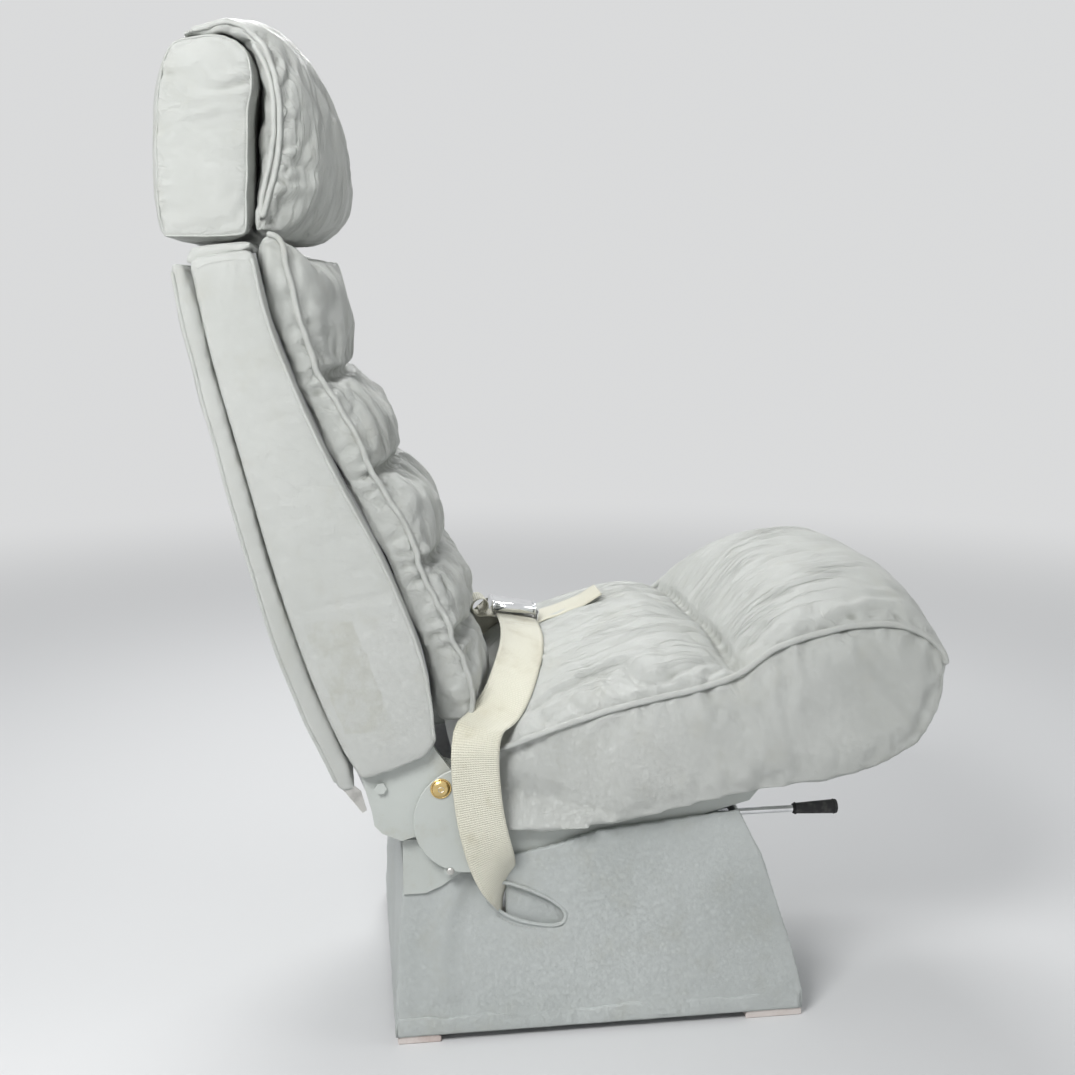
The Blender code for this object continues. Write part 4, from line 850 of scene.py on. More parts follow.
BLOCK_FORM = [(-0.2300, 0.8575), (-0.2310, 0.8590), (-0.2335, 0.880), (-0.2345, 0.910),
              (-0.2340, 0.945), (-0.2295, 0.995), (-0.2240, 1.022), (-0.2160, 1.0400),
              (-0.2050, 1.0460), (-0.190, 1.0485), (-0.170, 1.0505), (-0.150, 1.0455),
              (-0.1385, 1.0310), (-0.1360, 1.0100), (-0.1420, 0.985), (-0.1440, 0.945),
              (-0.1460, 0.900), (-0.1468, 0.8640), (-0.1470, 0.8620), (-0.1490, 0.8600),
              (-0.190, 0.8590), (-0.2280, 0.8575)]
block_side, block_middle = paired(BLOCK_FORM, 120)
block_cover = piece_of("headrest_block_cover",
                       block_form(block_side, block_middle, HEADREST_HALF_WIDTH, columns=16),
                       seat_leather, "headrest")
block_edges = [spots(side * HEADREST_HALF_WIDTH, np.vstack([block_side, block_side[:1]]))
               for side in (-1, 1)]
soften(block_cover, 0.0046, 0.0040, block_edges, growth=0.010, held=0.003)


BLOCK_SLACK = 0.0012
BLOCK_TOP_FOLD = 0.0020
BLOCK_MIDDLE_FOLD = 0.0016
BLOCK_SEAM_DEPTH = 0.0012
BLOCK_PUCKER = 0.0005


def block_folds(points, normals):
    """Slack leather on the block's sides, worst near its lower edge."""
    side = ease(np.abs(normals[:, 0]), 0.55, 0.9)
    low = 0.45 + 0.8 * (1 - ease(points[:, 2], 0.88, 0.97))
    high = bell(points[:, 2] - 1.000, 0.026)
    middle = bell(points[:, 2] - 0.940, 0.030)
    to_flap = ease(MIDDLE_FORWARD - points[:, 1], -0.215, -0.150)
    slack = waves(points, (0, 0.35, 0.94), 0.060, 3.0, 0.7) * side * low * BLOCK_SLACK
    slack += waves(points, (0, -0.18, 0.98), 0.022, 1.0, 0.5) * side * high * BLOCK_TOP_FOLD
    slack += (waves(points, (0, -0.40, 0.92), 0.030, 6.0, 0.5) * side * middle * to_flap
              * BLOCK_MIDDLE_FOLD)
    edge = away_from(points, block_edges)
    sunk = -BLOCK_SEAM_DEPTH * bell(edge, 0.0038)
    puckers = waves(points, (0, 0.8, 0.8), 0.019, 5.0, 0.5) * bell(edge, 0.012) * BLOCK_PUCKER
    return slack + sunk + puckers + lumps(points, 0.10, 7.0) * 0.0008


press(block_cover, block_folds)
points, normals = surface_of(block_cover)
edge = away_from(points, block_edges)
level = 0.5 * bell(points[:, 2] - 0.985, 0.035)
wrinkle(block_cover.data, folds_long=0.25 * ease(points[:, 2], 1.02, 1.04),
         folds_edge=level * ease(np.abs(normals[:, 0]), 0.6, 0.9) * lumps(points, 0.06, 2.0)
         + 0.4 * bell(edge, 0.010))
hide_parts("headrest_block")

FLAP_FORM = [(-0.2010, 1.0470, -0.2050, 1.0480), (-0.2030, 1.0485, -0.2100, 1.0520),
             (-0.1990, 1.0515, -0.2020, 1.0630), (-0.1860, 1.0570, -0.1880, 1.0705),
             (-0.168, 1.0620, -0.160, 1.0750), (-0.142, 1.0600, -0.122, 1.0670),
             (-0.124, 1.0400, -0.088, 1.0340), (-0.112, 0.9950, -0.062, 0.9850),
             (-0.114, 0.9400, -0.053, 0.9350), (-0.126, 0.9000, -0.054, 0.8900),
             (-0.137, 0.8640, -0.078, 0.8560), (-0.141, 0.8600, -0.110, 0.8520),
             (-0.1425, 0.8680, -0.141, 0.8600), (-0.1350, 0.9000, -0.1430, 0.900),
             (-0.1215, 0.9400, -0.1405, 0.9450), (-0.1180, 0.9900, -0.1365, 0.990),
             (-0.1275, 1.0300, -0.1365, 1.0295), (-0.1460, 1.0510, -0.150, 1.0480),
             (-0.170, 1.0530, -0.170, 1.0525), (-0.1880, 1.0495)]
flap_side, flap_middle = paired(FLAP_FORM, 150)
flap_cover = piece_of("headrest_pillow_cover",
                      block_form(flap_side, flap_middle, HEADREST_HALF_WIDTH, columns=22,
                                 power=2.6),
                      seat_leather, "headrest")
flap_front = flap_side[(flap_side[:, 1] > 0.870) & ((flap_side[:, 0] > -0.1355)
                                                    | (flap_side[:, 1] > 1.0535))]
flap_edges = [spots(side * HEADREST_HALF_WIDTH, flap_front) for side in (-1, 1)]
flap_back = flap_middle[(flap_middle[:, 0] < -0.1360) & (flap_middle[:, 1] < 1.0535)]
flap_backs = [spots(side * share * HEADREST_HALF_WIDTH, flap_back)
              for side in (-1, 1) for share in (0.75, 0.5, 0.25, 0.0)]
soften(flap_cover, 0.0050, 0.008, flap_edges + flap_backs, growth=0.040)


FLAP_HANG = 0.0022
FLAP_PUCKER = 0.0020
FLAP_SEAM_DEPTH = 0.0016


def flap_folds(points, normals):
    """Folds that fan out from the pillow's top and hang down its front."""
    ahead = ease(-normals[:, 1] + 0.4 * normals[:, 2], 0.1, 0.7)
    hang = waves(points, (1, 0.1, 0.12), 0.026, 1.0, 0.6) * ahead
    hang *= FLAP_HANG * (0.6 + 0.4 * lumps(points, 0.10, 2.0))
    hang += waves(points, (0.92, 0.3, 0.28), 0.052, 4.0, 0.5) * ahead * FLAP_HANG
    edge = away_from(points, flap_edges)
    by_edge = bell(edge, 0.022)
    puckers = waves(points, (0.1, 0.62, 0.90), 0.026, 4.0, 0.6, True) * by_edge
    sunk = -FLAP_SEAM_DEPTH * bell(edge, 0.0042)
    return hang + puckers * FLAP_PUCKER + sunk


press(flap_cover, flap_folds)
points, normals = surface_of(flap_cover)
edge = away_from(points, flap_edges)
hung = ease(-normals[:, 1] + 0.3 * normals[:, 2], 0.0, 0.5)
wrinkle(flap_cover.data, folds_long=hung * (0.65 + 0.5 * lumps(points, 0.11, 8.0)),
         folds_edge=0.7 * bell(edge, 0.018))
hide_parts("headrest_pillow")
for (side, word), seam in zip(SIDES, flap_edges):
    piping(f"headrest_pillow_piping_{word}", seam, flap_cover, 0.0014, 0.0028, "headrest")
for (side, word), seam in zip(SIDES, block_edges):
    piping(f"headrest_block_seam_{word}", seam[:-1], block_cover, 0.0002, 0.0011, "headrest",
           closed=True)


# Back shell
# Leather stretched over foam on aluminium side frames: a padded panel on each
# side, a padded rear panel and a narrow panel that closes the top.

def copy_of(node):
    """A merged copy of a CAD node's mesh, as a piece's own."""
    return outward(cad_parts[node].data.copy())


def edge_lines(mesh, angle=35.0):
    """The mesh's sharp edges, as short lines to hold a cover by."""
    shell = bmesh.new()
    shell.from_mesh(mesh)
    lines = []
    for edge in shell.edges:
        if len(edge.link_faces) == 2 and edge.calc_face_angle(0) > math.radians(angle):
            lines.append(np.array([edge.verts[0].co[:], edge.verts[1].co[:]]))
    shell.free()
    return lines


STITCH_WIDTH = 0.00042
STITCH_SIZES = np.array([0.35, 1.0, 0.35])
STITCH_SINKS = np.array([-0.5, 0.35, -0.5])


def stitches(name, path, normals, material, body, pitch=0.0042, length=0.0030):
    """A row of sewn thread: small rounded bars laid end to end along a path.

    Each bar is three six sided rings: a full one at its middle that stands
    proud of the surface, and a small sunk one at either end.
    """
    path, normals = np.asarray(path, dtype=float), np.asarray(normals, dtype=float)
    gone = np.concatenate([[0], np.cumsum(np.linalg.norm(np.diff(path, axis=0), axis=1))])
    middles = np.arange(pitch, gone[-1] - pitch, pitch)
    places = middles[:, None] + length * np.array([-0.5, 0.0, 0.5])
    ends = np.stack([np.interp(places, gone, column) for column in path.T], axis=-1)
    up = np.stack([np.interp(middles, gone, column) for column in normals.T], axis=-1)
    up /= np.linalg.norm(up, axis=1)[:, None]
    way = ends[:, 2] - ends[:, 0]
    way /= np.linalg.norm(way, axis=1)[:, None]
    angles = np.arange(6) * math.pi / 3
    circle = (np.cos(angles)[:, None] * up[:, None]
              + np.sin(angles)[:, None] * np.cross(way, up)[:, None])
    rings = (ends[:, :, None] + STITCH_WIDTH * STITCH_SINKS[:, None, None] * up[:, None, None]
             + STITCH_WIDTH * STITCH_SIZES[:, None, None] * circle[:, None])
    bar = ring_faces(3, 6)
    faces = [[index + 18 * number for index in face]
             for number in range(len(middles)) for face in bar]
    mesh = bpy.data.meshes.new("thread")
    mesh.from_pydata(rings.reshape(-1, 3).tolist(), [], faces)
    piece_of(name, outward(mesh), material, body)


panel_leather = leather("panel_leather", LEATHER_CLEAN, LEATHER_SHADE, LEATHER_SOIL, amount=0.35,
                        crease=0.30)
tree = panel_leather.node_tree
shader = tree.nodes["Principled BSDF"]
where = add(tree, "TexCoord").outputs["Object"]
parts = add(tree, "SeparateXYZ", [(0, where)])
ragged = noise(tree, where, 55.0, 5.0)
streaks = add(tree, "Mapping", [("Vector", where), ("Scale", (1.0, 1.3, 1.0))]).outputs[0]
drawn = noise(tree, streaks, 42.0, 8.0, roughness=0.7)
lean = sums(tree, "MULTIPLY_ADD", parts.outputs[2], -0.33, parts.outputs[1])
lean = sums(tree, "MULTIPLY_ADD", ragged, 0.010, lean)
tall = sums(tree, "MULTIPLY_ADD", ragged, 0.012, parts.outputs[2])
TAPE_MIDDLE = (MIDDLE_FORWARD + 0.0605 - 0.33 * 0.425 + 0.005, 0.431)
TAPE_HALF = (0.0265, 0.060)
TAPE_STAIN = (0.50, 0.50, 0.41, 1.0)
TAPE_SHARE = 0.40
inside = sums(tree, "SUBTRACT", lean, TAPE_MIDDLE[0])
inside = spread(tree, sums(tree, "ABSOLUTE", inside), TAPE_HALF[0] - 0.0022, TAPE_HALF[0], 1, 0)
level_in = sums(tree, "ABSOLUTE", sums(tree, "SUBTRACT", tall, TAPE_MIDDLE[1]))
level_in = spread(tree, level_in, TAPE_HALF[1] - 0.003, TAPE_HALF[1], 1, 0)
outer = spread(tree, parts.outputs[0], -0.214, -0.217, 0, 1)
mark = sums(tree, "MULTIPLY", sums(tree, "MULTIPLY", inside, level_in), outer)
patch = sums(tree, "MULTIPLY", mark, spread(tree, drawn, 0.40, 0.64, 0.12, 0.85))
old = shader.inputs["Base Color"].links[0].from_socket
tree.links.new(mixed(tree, sums(tree, "MULTIPLY", patch, TAPE_SHARE), old, TAPE_STAIN),
               shader.inputs["Base Color"])
old = shader.inputs["Roughness"].links[0].from_socket
tree.links.new(sums(tree, "MULTIPLY_ADD", patch, -0.16, old), shader.inputs["Roughness"])

ARCH_REAR = -0.2000
ARCH_LENGTH = 0.0620
ARCH_HEIGHT = 0.0075


def arched(points):
    """Points near the top of the back, lifted into the low arch of the covering."""
    forward = MIDDLE_FORWARD - points[:, 1]
    share = np.clip((forward - ARCH_REAR) / ARCH_LENGTH, 0, 1)
    lift = ARCH_HEIGHT * np.sin(share * math.pi) ** 0.8 * ease(points[:, 2], 0.800, 0.832)
    return points + lift[:, None] * np.array([0.0, 0.0, 1.0])


PAD_FRONT_LINE = [(-0.139, 0.836), (-0.131, 0.785), (-0.102, 0.705), (-0.066, 0.623),
                  (-0.031, 0.558), (-0.003, 0.490), (0.019, 0.425), (0.025, 0.356)]
PAD_TOP_LINE = [(-0.1985, 0.8255), (-0.1900, 0.8335), (-0.170, 0.8395), (-0.150, 0.8410),
                (-0.1400, 0.8385)]
for side, word in SIDES:
    node = f"back_side_pad_{word}"
    mesh = copy_of(node)
    pad_edges = edge_lines(mesh)
    pad = piece_of(f"{node}_cover", mesh, panel_leather, "backrest")
    place_all(mesh, arched(spots_of(mesh)))
    soften(pad, 0.0042, 0.0035, [arched(line) for line in pad_edges], growth=0.003, held=0.003)
    top_seam = spots(side * 0.221, eased(PAD_TOP_LINE, 40))

    def pad_folds(points, normals):
        """A sunk seam near the top and a little slack in the covering."""
        sunk = -0.0012 * bell(away_from(points, [top_seam]), 0.0030)
        face = ease(np.abs(normals[:, 0]), 0.7, 0.95)
        slack = waves(points, (0, 0.9, 0.42), 0.110, 5.0 + side, 0.6) * 0.0003 * face
        by_top = bell(points[:, 2] - 0.836, 0.030)
        pull = waves(points, (0, 1, 0.1), 0.014, 2.0, 0.5) * by_top * 0.00035 * face
        return sunk + slack + pull + lumps(points, 0.20, 3.0 + side) * 0.0005 * face

    press(pad, pad_folds)
    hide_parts(node)
    path, lie = laid(top_seam + np.array([0, 0, -0.0045]), pad, 0.0002)
    stitches(f"{node}_stitching", path, lie, seat_leather, "backrest")
    piping(f"{node}_edging", spots(side * 0.2195, eased(PAD_FRONT_LINE, 90)), pad, 0.0004,
           0.0017, "backrest")

rear_mesh = copy_of("back_rear_cover")
rear_edges = edge_lines(rear_mesh)
REAR_LIFT = 0.0160


def lifted(points):
    """The rear panel's top edge, drawn up to the top panel."""
    lift = REAR_LIFT * ease(points[:, 2], 0.770, 0.817)
    return points + lift[:, None] * np.array([0.0, 0.10, 1.0])


place_all(rear_mesh, lifted(spots_of(rear_mesh)))
rear_edges = [lifted(line) for line in rear_edges]
rear_panel = piece_of("back_rear_panel", rear_mesh, seat_leather, "backrest")
soften(rear_panel, 0.0050, 0.0040, rear_edges, growth=0.006, held=0.003)
press(rear_panel, lambda points, normals: lumps(points, 0.17, 4.0) * 0.0012
      + waves(points, (0.3, 0.2, 0.95), 0.110, 3.0, 0.6) * 0.0007)
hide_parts("back_rear_cover")
REAR_EDGE_LINE = [(-0.2165, 0.808), (-0.1985, 0.719), (-0.1815, 0.640), (-0.1565, 0.531),
                  (-0.1305, 0.439), (-0.1060, 0.373), (-0.0800, 0.312)]
for side, word in SIDES:
    run = lifted(spots(side * 0.2125, eased(REAR_EDGE_LINE, 90)))
    piping(f"back_rear_piping_{word}", run, rear_panel, 0.0005, 0.0020, "backrest")

top_mesh = copy_of("back_top_pad")
top_cover = piece_of("back_top_cover", top_mesh, seat_leather, "backrest")
points = arched(spots_of(top_mesh))
behind = np.clip(points[:, 1] - (MIDDLE_FORWARD + 0.1990), 0, None)
points -= behind[:, None] * np.array([0.0, 0.75, 0.55])
place_all(top_mesh, points)
soften(top_cover, 0.0036, 0.0025, [], growth=0.004, held=0.003)
press(top_cover, lambda points, normals: lumps(points, 0.08, 2.0) * 0.0006)
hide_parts("back_top_pad")


# Base skirts
# Thin boards covered in leather stand round the leg plates on four feet. The
# leather is turned under along the floor in a wide hem, and each side has a
# slot with a turned and sewn lip for the belt.

SKIRT_CLEAN = (0.600, 0.632, 0.618, 1.0)
SKIRT_SHADE = (0.545, 0.578, 0.562, 1.0)
SKIRT_SOIL = (0.500, 0.505, 0.440, 1.0)
THREAD_CLEAN = (0.740, 0.760, 0.720, 1.0)
THREAD_SHADE = (0.700, 0.720, 0.680, 1.0)
THREAD_SOIL = (0.600, 0.600, 0.520, 1.0)
skirt_leather = leather("skirt_leather", SKIRT_CLEAN, SKIRT_SHADE, SKIRT_SOIL, amount=0.34,
                        grain=620.0, crease=0.22, rough=0.46, bump=0.00028)
thread = leather("thread", THREAD_CLEAN, THREAD_SHADE, THREAD_SOIL, grain=900.0, crease=0.0,
                 rough=0.6)
SLOT_LINE = [(0.074, 0.180), (0.084, 0.158), (0.100, 0.144), (0.122, 0.134), (0.161, 0.127),
             (0.168, 0.143), (0.150, 0.160), (0.118, 0.176), (0.096, 0.184)]
SKIRT_FACE = 0.1920
SKIRT_CREASE = [(0.0545, 0.190), (0.036, 0.150), (0.030, 0.100), (0.034, 0.060)]


def skirt_folds(points, normals):
    """Broad slack of a covered board, a soft upright crease and the turned hem."""
    face = ease(np.abs(normals[:, 0]) + np.abs(normals[:, 1]), 0.6, 0.95)
    out = ease(np.abs(points[:, 0]), SKIRT_FACE - 0.004, SKIRT_FACE - 0.001)
    out = np.maximum(out, 0.35)
    side_view = np.stack([np.zeros(len(points)), points[:, 1], points[:, 2]], axis=1)
    crease = away_from(side_view, [spots(0.0, eased(SKIRT_CREASE, 24))])
    soft = 0.0020 * bell(crease, 0.011) - 0.0012 * bell(crease - 0.022, 0.013)
    slack = waves(points, (0.2, 0.75, 0.6), 0.150, 6.0, 0.5) * 0.0014
    low = bell(points[:, 2] - 0.044, 0.016)
    gathers = waves(points, (0.9, 1, 0.2), 0.034, 3.0, 0.6) * low * 0.0004
    return face * out * (soft + slack + gathers + lumps(points, 0.12, 8.0) * 0.0010)


for node in ("side_skirt_right", "side_skirt_left", "front_skirt", "rear_skirt"):
    skirt = piece_of(f"{node}_cover", copy_of(node), skirt_leather, "base")
    even = skirt.modifiers.new("even", "REMESH")
    even.mode = "VOXEL"
    even.voxel_size = 0.0024
    baked(skirt)
    round_off = skirt.modifiers.new("round_off", "SMOOTH")
    round_off.factor = 0.5
    round_off.iterations = 3
    baked(skirt)
    press(skirt, skirt_folds)
    smooth_faces(skirt.data)
    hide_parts(node)

BASE_LINE = (-0.0200, 0.4360)
HEM_LOW = 0.0095
HEM_HIGH = 0.0300
HEM_THICK = 0.0016
HEM_PROFILE = ((0.0, -0.0010), (0.0, 0.55), (0.10, 0.95), (0.30, 1.0), (0.60, 0.92),
               (0.85, 0.74), (0.96, 0.42), (1.0, -0.0010), (1.0, -0.8), (0.0, -0.8))


def hem(word, path, out):
    """A turned hem along a path on the floor: a flat, rounded band whose upper edge wavers.

    Its profile's points are shares of its height and of its thickness, which
    both change along the path by sines.
    """
    steps = np.arange(len(path))
    rise = (HEM_HIGH - HEM_LOW + 0.0016 * np.sin(steps * 0.33)
            + 0.0009 * np.sin(steps * 0.81 + 1))
    swell = HEM_THICK * (1 + 0.18 * np.sin(steps * 0.47 + 2))
    share, off = np.array(HEM_PROFILE).T
    rings = np.empty((len(path), len(share), 3))
    rings[..., :2] = np.asarray(path)[:, None, :2] + (swell[:, None] * off)[..., None] * out
    rings[..., 2] = HEM_LOW + rise[:, None] * share
    piece_of(f"hem_{word}", lattice(rings), skirt_leather, "base")


for side, word in SIDES:
    steps = np.linspace(BASE_LINE[0] + 0.002, BASE_LINE[1] - 0.002, 110)
    hem(word, spots(side * (SKIRT_FACE - 0.0004), [(step, 0.0) for step in steps]),
        np.array([side, 0]))
for word, forward, out in (("front", BASE_LINE[1] - 0.0010, -1), ("rear", BASE_LINE[0] + 0.0010, 1)):
    steps = np.linspace(-SKIRT_FACE, SKIRT_FACE, 90)
    hem(word, [(x, MIDDLE_FORWARD - forward) for x in steps], np.array([0, out]))

for side, word in SIDES:
    slot_path = eased(SLOT_LINE, 120, closed=True)
    middle = slot_path.mean(axis=0)
    ring = spots(side * (SKIRT_FACE + 0.0003), slot_path)
    piece_of(f"slot_lip_{word}", tube(ring, 0.0021, 10, closed=True), skirt_leather, "base")
    wide = middle + (slot_path - middle) * (1 + 0.0062 / np.linalg.norm(slot_path - middle,
                                                                      axis=1)[:, None])
    keep = [point for point in wide if point[0] > 0.088 and point[1] < 0.176]
    keep = sorted(keep, key=lambda point: math.atan2(point[1] - middle[1], point[0] - middle[0]))
    row = spots(side * (SKIRT_FACE + 0.0003), keep)
    stitches(f"slot_stitching_{word}", row, [(side, 0, 0)] * len(row), thread, "base")


# Feet
# Moulded blocks under the leg plates that run in the floor track, scuffed
# and stained pink by the rust and polish they have stood in.

foot_plastic, tree, shader = finish("foot_plastic", 0.55)
dirt = use(tree, soil_group, Clean=(0.70, 0.655, 0.62, 1.0), Shade=(0.62, 0.53, 0.50, 1.0),
           Soil=(0.36, 0.27, 0.23, 1.0), Amount=0.9)
tree.links.new(dirt.outputs["Colour"], shader.inputs["Base Color"])
where = add(tree, "TexCoord").outputs["Object"]
rough = noise(tree, where, 320.0, 4.0)
emboss(tree, shader, rough, 0.0004)


def dress(material, slot_name, *nodes):
    """CAD nodes kept as they are, with a modelled finish on them."""
    for node in nodes:
        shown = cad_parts[node]
        shown.data.materials.clear()
        shown.data.materials.append(material)


dress(foot_plastic, "foot_plastic", "track_fitting_front_right", "track_fitting_front_left",
      "track_fitting_rear_right", "track_fitting_rear_left")


# Hinge plates and frame metal
# The hinge plates are steel under satin grey paint, worn through at their
# edges and round the screws. The frame behind the covers is bare aluminium.

def paint(name, colour, primer, wear):
    """Satin paint with orange peel, chips and rubbed corners."""
    made, tree, shader = finish(name, 0.38)
    where = add(tree, "TexCoord").outputs["Object"]
    dirt = use(tree, soil_group, Clean=colour, Shade=tuple(c * 0.93 for c in colour[:3]) + (1.0,),
               Soil=(0.39, 0.38, 0.31, 1.0), Amount=0.5)
    ragged = noise(tree, where, 210.0, 6.0, roughness=0.7)
    rub = noise(tree, where, 34.0, 3.0)
    chips = spread(tree, sums(tree, "MULTIPLY_ADD", ragged, 0.5, rub), 1.02, 1.05)
    spots_off = add(tree, "TexVoronoi", [("Vector", where), ("Scale", 95.0)]).outputs["Distance"]
    small = spread(tree, sums(tree, "MULTIPLY_ADD", ragged, -0.20, spots_off), -0.100, -0.085, 1, 0)
    bare = sums(tree, "MULTIPLY", sums(tree, "MAXIMUM", chips, small), wear)
    tree.links.new(mixed(tree, bare, dirt.outputs["Colour"], primer), shader.inputs["Base Color"])
    peel = noise(tree, where, 520.0, 2.0)
    level = sums(tree, "MULTIPLY_ADD", bare, -0.8, peel)
    emboss(tree, shader, level, 0.00016)
    tree.links.new(sums(tree, "MULTIPLY_ADD", peel, 0.16, 0.32), shader.inputs["Roughness"])
    return made


def metal(name, colour, rough, marks, grain_scale=(60.0, 60.0, 60.0), bump=0.00006):
    """Bare or plated metal with fine marks, smears and a dull film."""
    made, tree, shader = finish(name, rough, 1.0)
    where = add(tree, "TexCoord").outputs["Object"]
    drawn = add(tree, "Mapping", [("Vector", where), ("Scale", grain_scale)]).outputs[0]
    fine = noise(tree, drawn, 14.0, 7.0, roughness=0.7)
    film = noise(tree, where, 48.0, 5.0)
    dull = spread(tree, film, 0.42, 0.72)
    tree.links.new(mixed(tree, sums(tree, "MULTIPLY", dull, marks), colour,
                         tuple(c * 0.62 for c in colour[:3]) + (1.0,)), shader.inputs["Base Color"])
    rougher = sums(tree, "MULTIPLY_ADD", dull, 0.24 * marks, rough)
    tree.links.new(sums(tree, "MULTIPLY_ADD", fine, 0.12 * marks, rougher),
                   shader.inputs["Roughness"])
    emboss(tree, shader, fine, bump)
    return made


painted_plate = paint("painted_plate", (0.510, 0.538, 0.510, 1.0), (0.33, 0.34, 0.30, 1.0), 0.8)
aluminium = metal("aluminium_frame", (0.74, 0.75, 0.76, 1.0), 0.34, 0.6, (30.0, 160.0, 30.0))
steel = metal("plain_steel", (0.62, 0.61, 0.58, 1.0), 0.36, 0.8)
chrome = metal("bright_chrome", (0.86, 0.87, 0.88, 1.0), 0.07, 0.35, bump=0.00001)
gold = metal("gold_plated_steel", (0.80, 0.60, 0.27, 1.0), 0.20, 0.7, bump=0.00003)

dress(painted_plate, "painted_plate",
      *[f"{node}_{word}" for node in ("seat_rail", "guard_plate", "hinge_cover", "back_bracket",
                                      "bracket_bolt") for side, word in SIDES])
dress(aluminium, "aluminium_frame", "front_spreader_tube", "rear_spreader_tube", "seat_pan",
      "lever_bracket", "lock_base_bracket", "back_top_tube", "back_lower_tube", "back_diaphragm",
      *[f"{node}_{word}" for node in ("leg_plate", "back_rail") for side, word in SIDES])
dress(steel, "plain_steel", "recline_lock_cylinder", "belt_tongue",
      *[f"{node}_{word}" for node in ("cover_screw", "headrest_guide", "belt_shackle")
        for side, word in SIDES])
dress(chrome, "bright_chrome", "recline_lever_rod", "recline_lock_rod", "headrest_post_right",
      "headrest_post_left", "belt_buckle_body", "belt_buckle_lever")
dress(gold, "gold_plated_steel", "pivot_bolt_right", "pivot_bolt_left")


# Pivot bolts
# Domed, yellow plated bolt heads with a shallow tool socket, set on a thin
# washer over each hinge cover.

PIVOT = (0.0310, 0.2990)
PIVOT_RIM = 0.0101
SOCKET_PROFILE = ((0.0026, -0.0030), (0.0027, 0.0001), (0.0031, 0.0004), (0.0034, 0.0001),
                  (0.0034, -0.0012), (0.0026, -0.0030))


def outside_of(node, side):
    """How far out a CAD node reaches on a side."""
    low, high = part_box(node)
    return high[0] if side > 0 else low[0]


def round_pivot(x, radius, count, turn=0.0):
    """A circle of points round the pivot, at a sideways place."""
    angles = np.linspace(0, 2 * math.pi, count, endpoint=False) + turn
    return spots(x, np.stack([PIVOT[0] - radius * np.cos(angles),
                              PIVOT[1] + radius * np.sin(angles)], axis=1))


for side, word in SIDES:
    face = outside_of(f"pivot_bolt_{word}", side)
    rings = [round_pivot(face + side * deep, size, 6, math.pi / 6)
             for size, deep in SOCKET_PROFILE]
    piece_of(f"pivot_socket_{word}", lattice(rings), steel, "base",
             smooth=False)
    rim = round_pivot(outside_of(f"hinge_cover_{word}", side) + side * 0.0003, PIVOT_RIM, 40)
    piece_of(f"pivot_rim_{word}", tube(rim, 0.0010, 8, True), gold, "base")


# Lever grip
# Moulded rubber sleeve pushed onto the plated recline lever.

rubber, tree, shader = finish("grip_rubber", 0.62)
where = add(tree, "TexCoord").outputs["Object"]
dust = noise(tree, where, 110.0, 6.0)
tree.links.new(mixed(tree, spread(tree, dust, 0.46, 0.80), (0.018, 0.018, 0.019, 1.0),
                     (0.075, 0.073, 0.068, 1.0)), shader.inputs["Base Color"])
pores = noise(tree, where, 900.0, 2.0)
emboss(tree, shader, pores, 0.00015)
dress(rubber, "grip_rubber", "recline_lever_grip")
grip_low, grip_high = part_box("recline_lever_grip")
grip_at = ((grip_low[0] + grip_high[0]) / 2, (grip_low[2] + grip_high[2]) / 2)
for number, share in enumerate((0.06, 0.93)):
    along = grip_high[1] + (grip_low[1] - grip_high[1]) * share
    radius = (grip_high[0] - grip_low[0]) / 2 * (0.72 if number == 0 else 0.92)
    angles = np.linspace(0, 2 * math.pi, 40, endpoint=False)
    loop = [[grip_at[0] + radius * math.cos(angle), along, grip_at[1] + radius * math.sin(angle)]
            for angle in angles]
    piece_of(f"grip_bead_{number + 1}", tube(loop, 0.0011, 8, True), rubber, "recline_lever")


# Lap belt
# Ribbed woven webbing, 50 mm wide, that comes up through each skirt slot with
# a twist, bends over the cushion's edge and runs to the lift lever buckle.

webbing, tree, shader = finish("belt_webbing", 0.52)
plan = add(tree, "UVMap", uv_map="weave").outputs[0]
axes = add(tree, "SeparateXYZ", [(0, plan)])
RIB_PITCH = 0.0024
WARP_PITCH = 0.0013
where = add(tree, "TexCoord").outputs["Object"]
waver = noise(tree, where, 130.0, 2.0)
drift = sums(tree, "MULTIPLY", waver, 2.6)
rib = sums(tree, "SINE", sums(tree, "MULTIPLY_ADD", axes.outputs[1], 2 * math.pi / RIB_PITCH,
                              drift))
warp = sums(tree, "SINE", sums(tree, "MULTIPLY", axes.outputs[0], 2 * math.pi / WARP_PITCH))
twill = sums(tree, "MULTIPLY_ADD", axes.outputs[1], 2 * math.pi / RIB_PITCH,
             sums(tree, "MULTIPLY", axes.outputs[0], math.pi / WARP_PITCH))
twill = sums(tree, "SINE", twill)
weave = sums(tree, "MULTIPLY_ADD", twill, 0.35, sums(tree, "MULTIPLY_ADD", warp, 0.30, rib))
fuzz = noise(tree, where, 1600.0, 2.0)
weave_up = sums(tree, "MULTIPLY_ADD", fuzz, 0.8, weave)
dirt = use(tree, soil_group, Clean=(0.735, 0.722, 0.605, 1.0), Shade=(0.640, 0.622, 0.500, 1.0),
           Soil=(0.480, 0.440, 0.310, 1.0), Amount=0.6)
gaps = spread(tree, weave, -1.3, 0.2, 0.32, 0.0)
tree.links.new(mixed(tree, gaps, dirt.outputs["Colour"], (0.40, 0.38, 0.30, 1.0)),
               shader.inputs["Base Color"])
emboss(tree, shader, weave_up, 0.00022)
shader.inputs["Sheen Weight"].default_value = 0.25


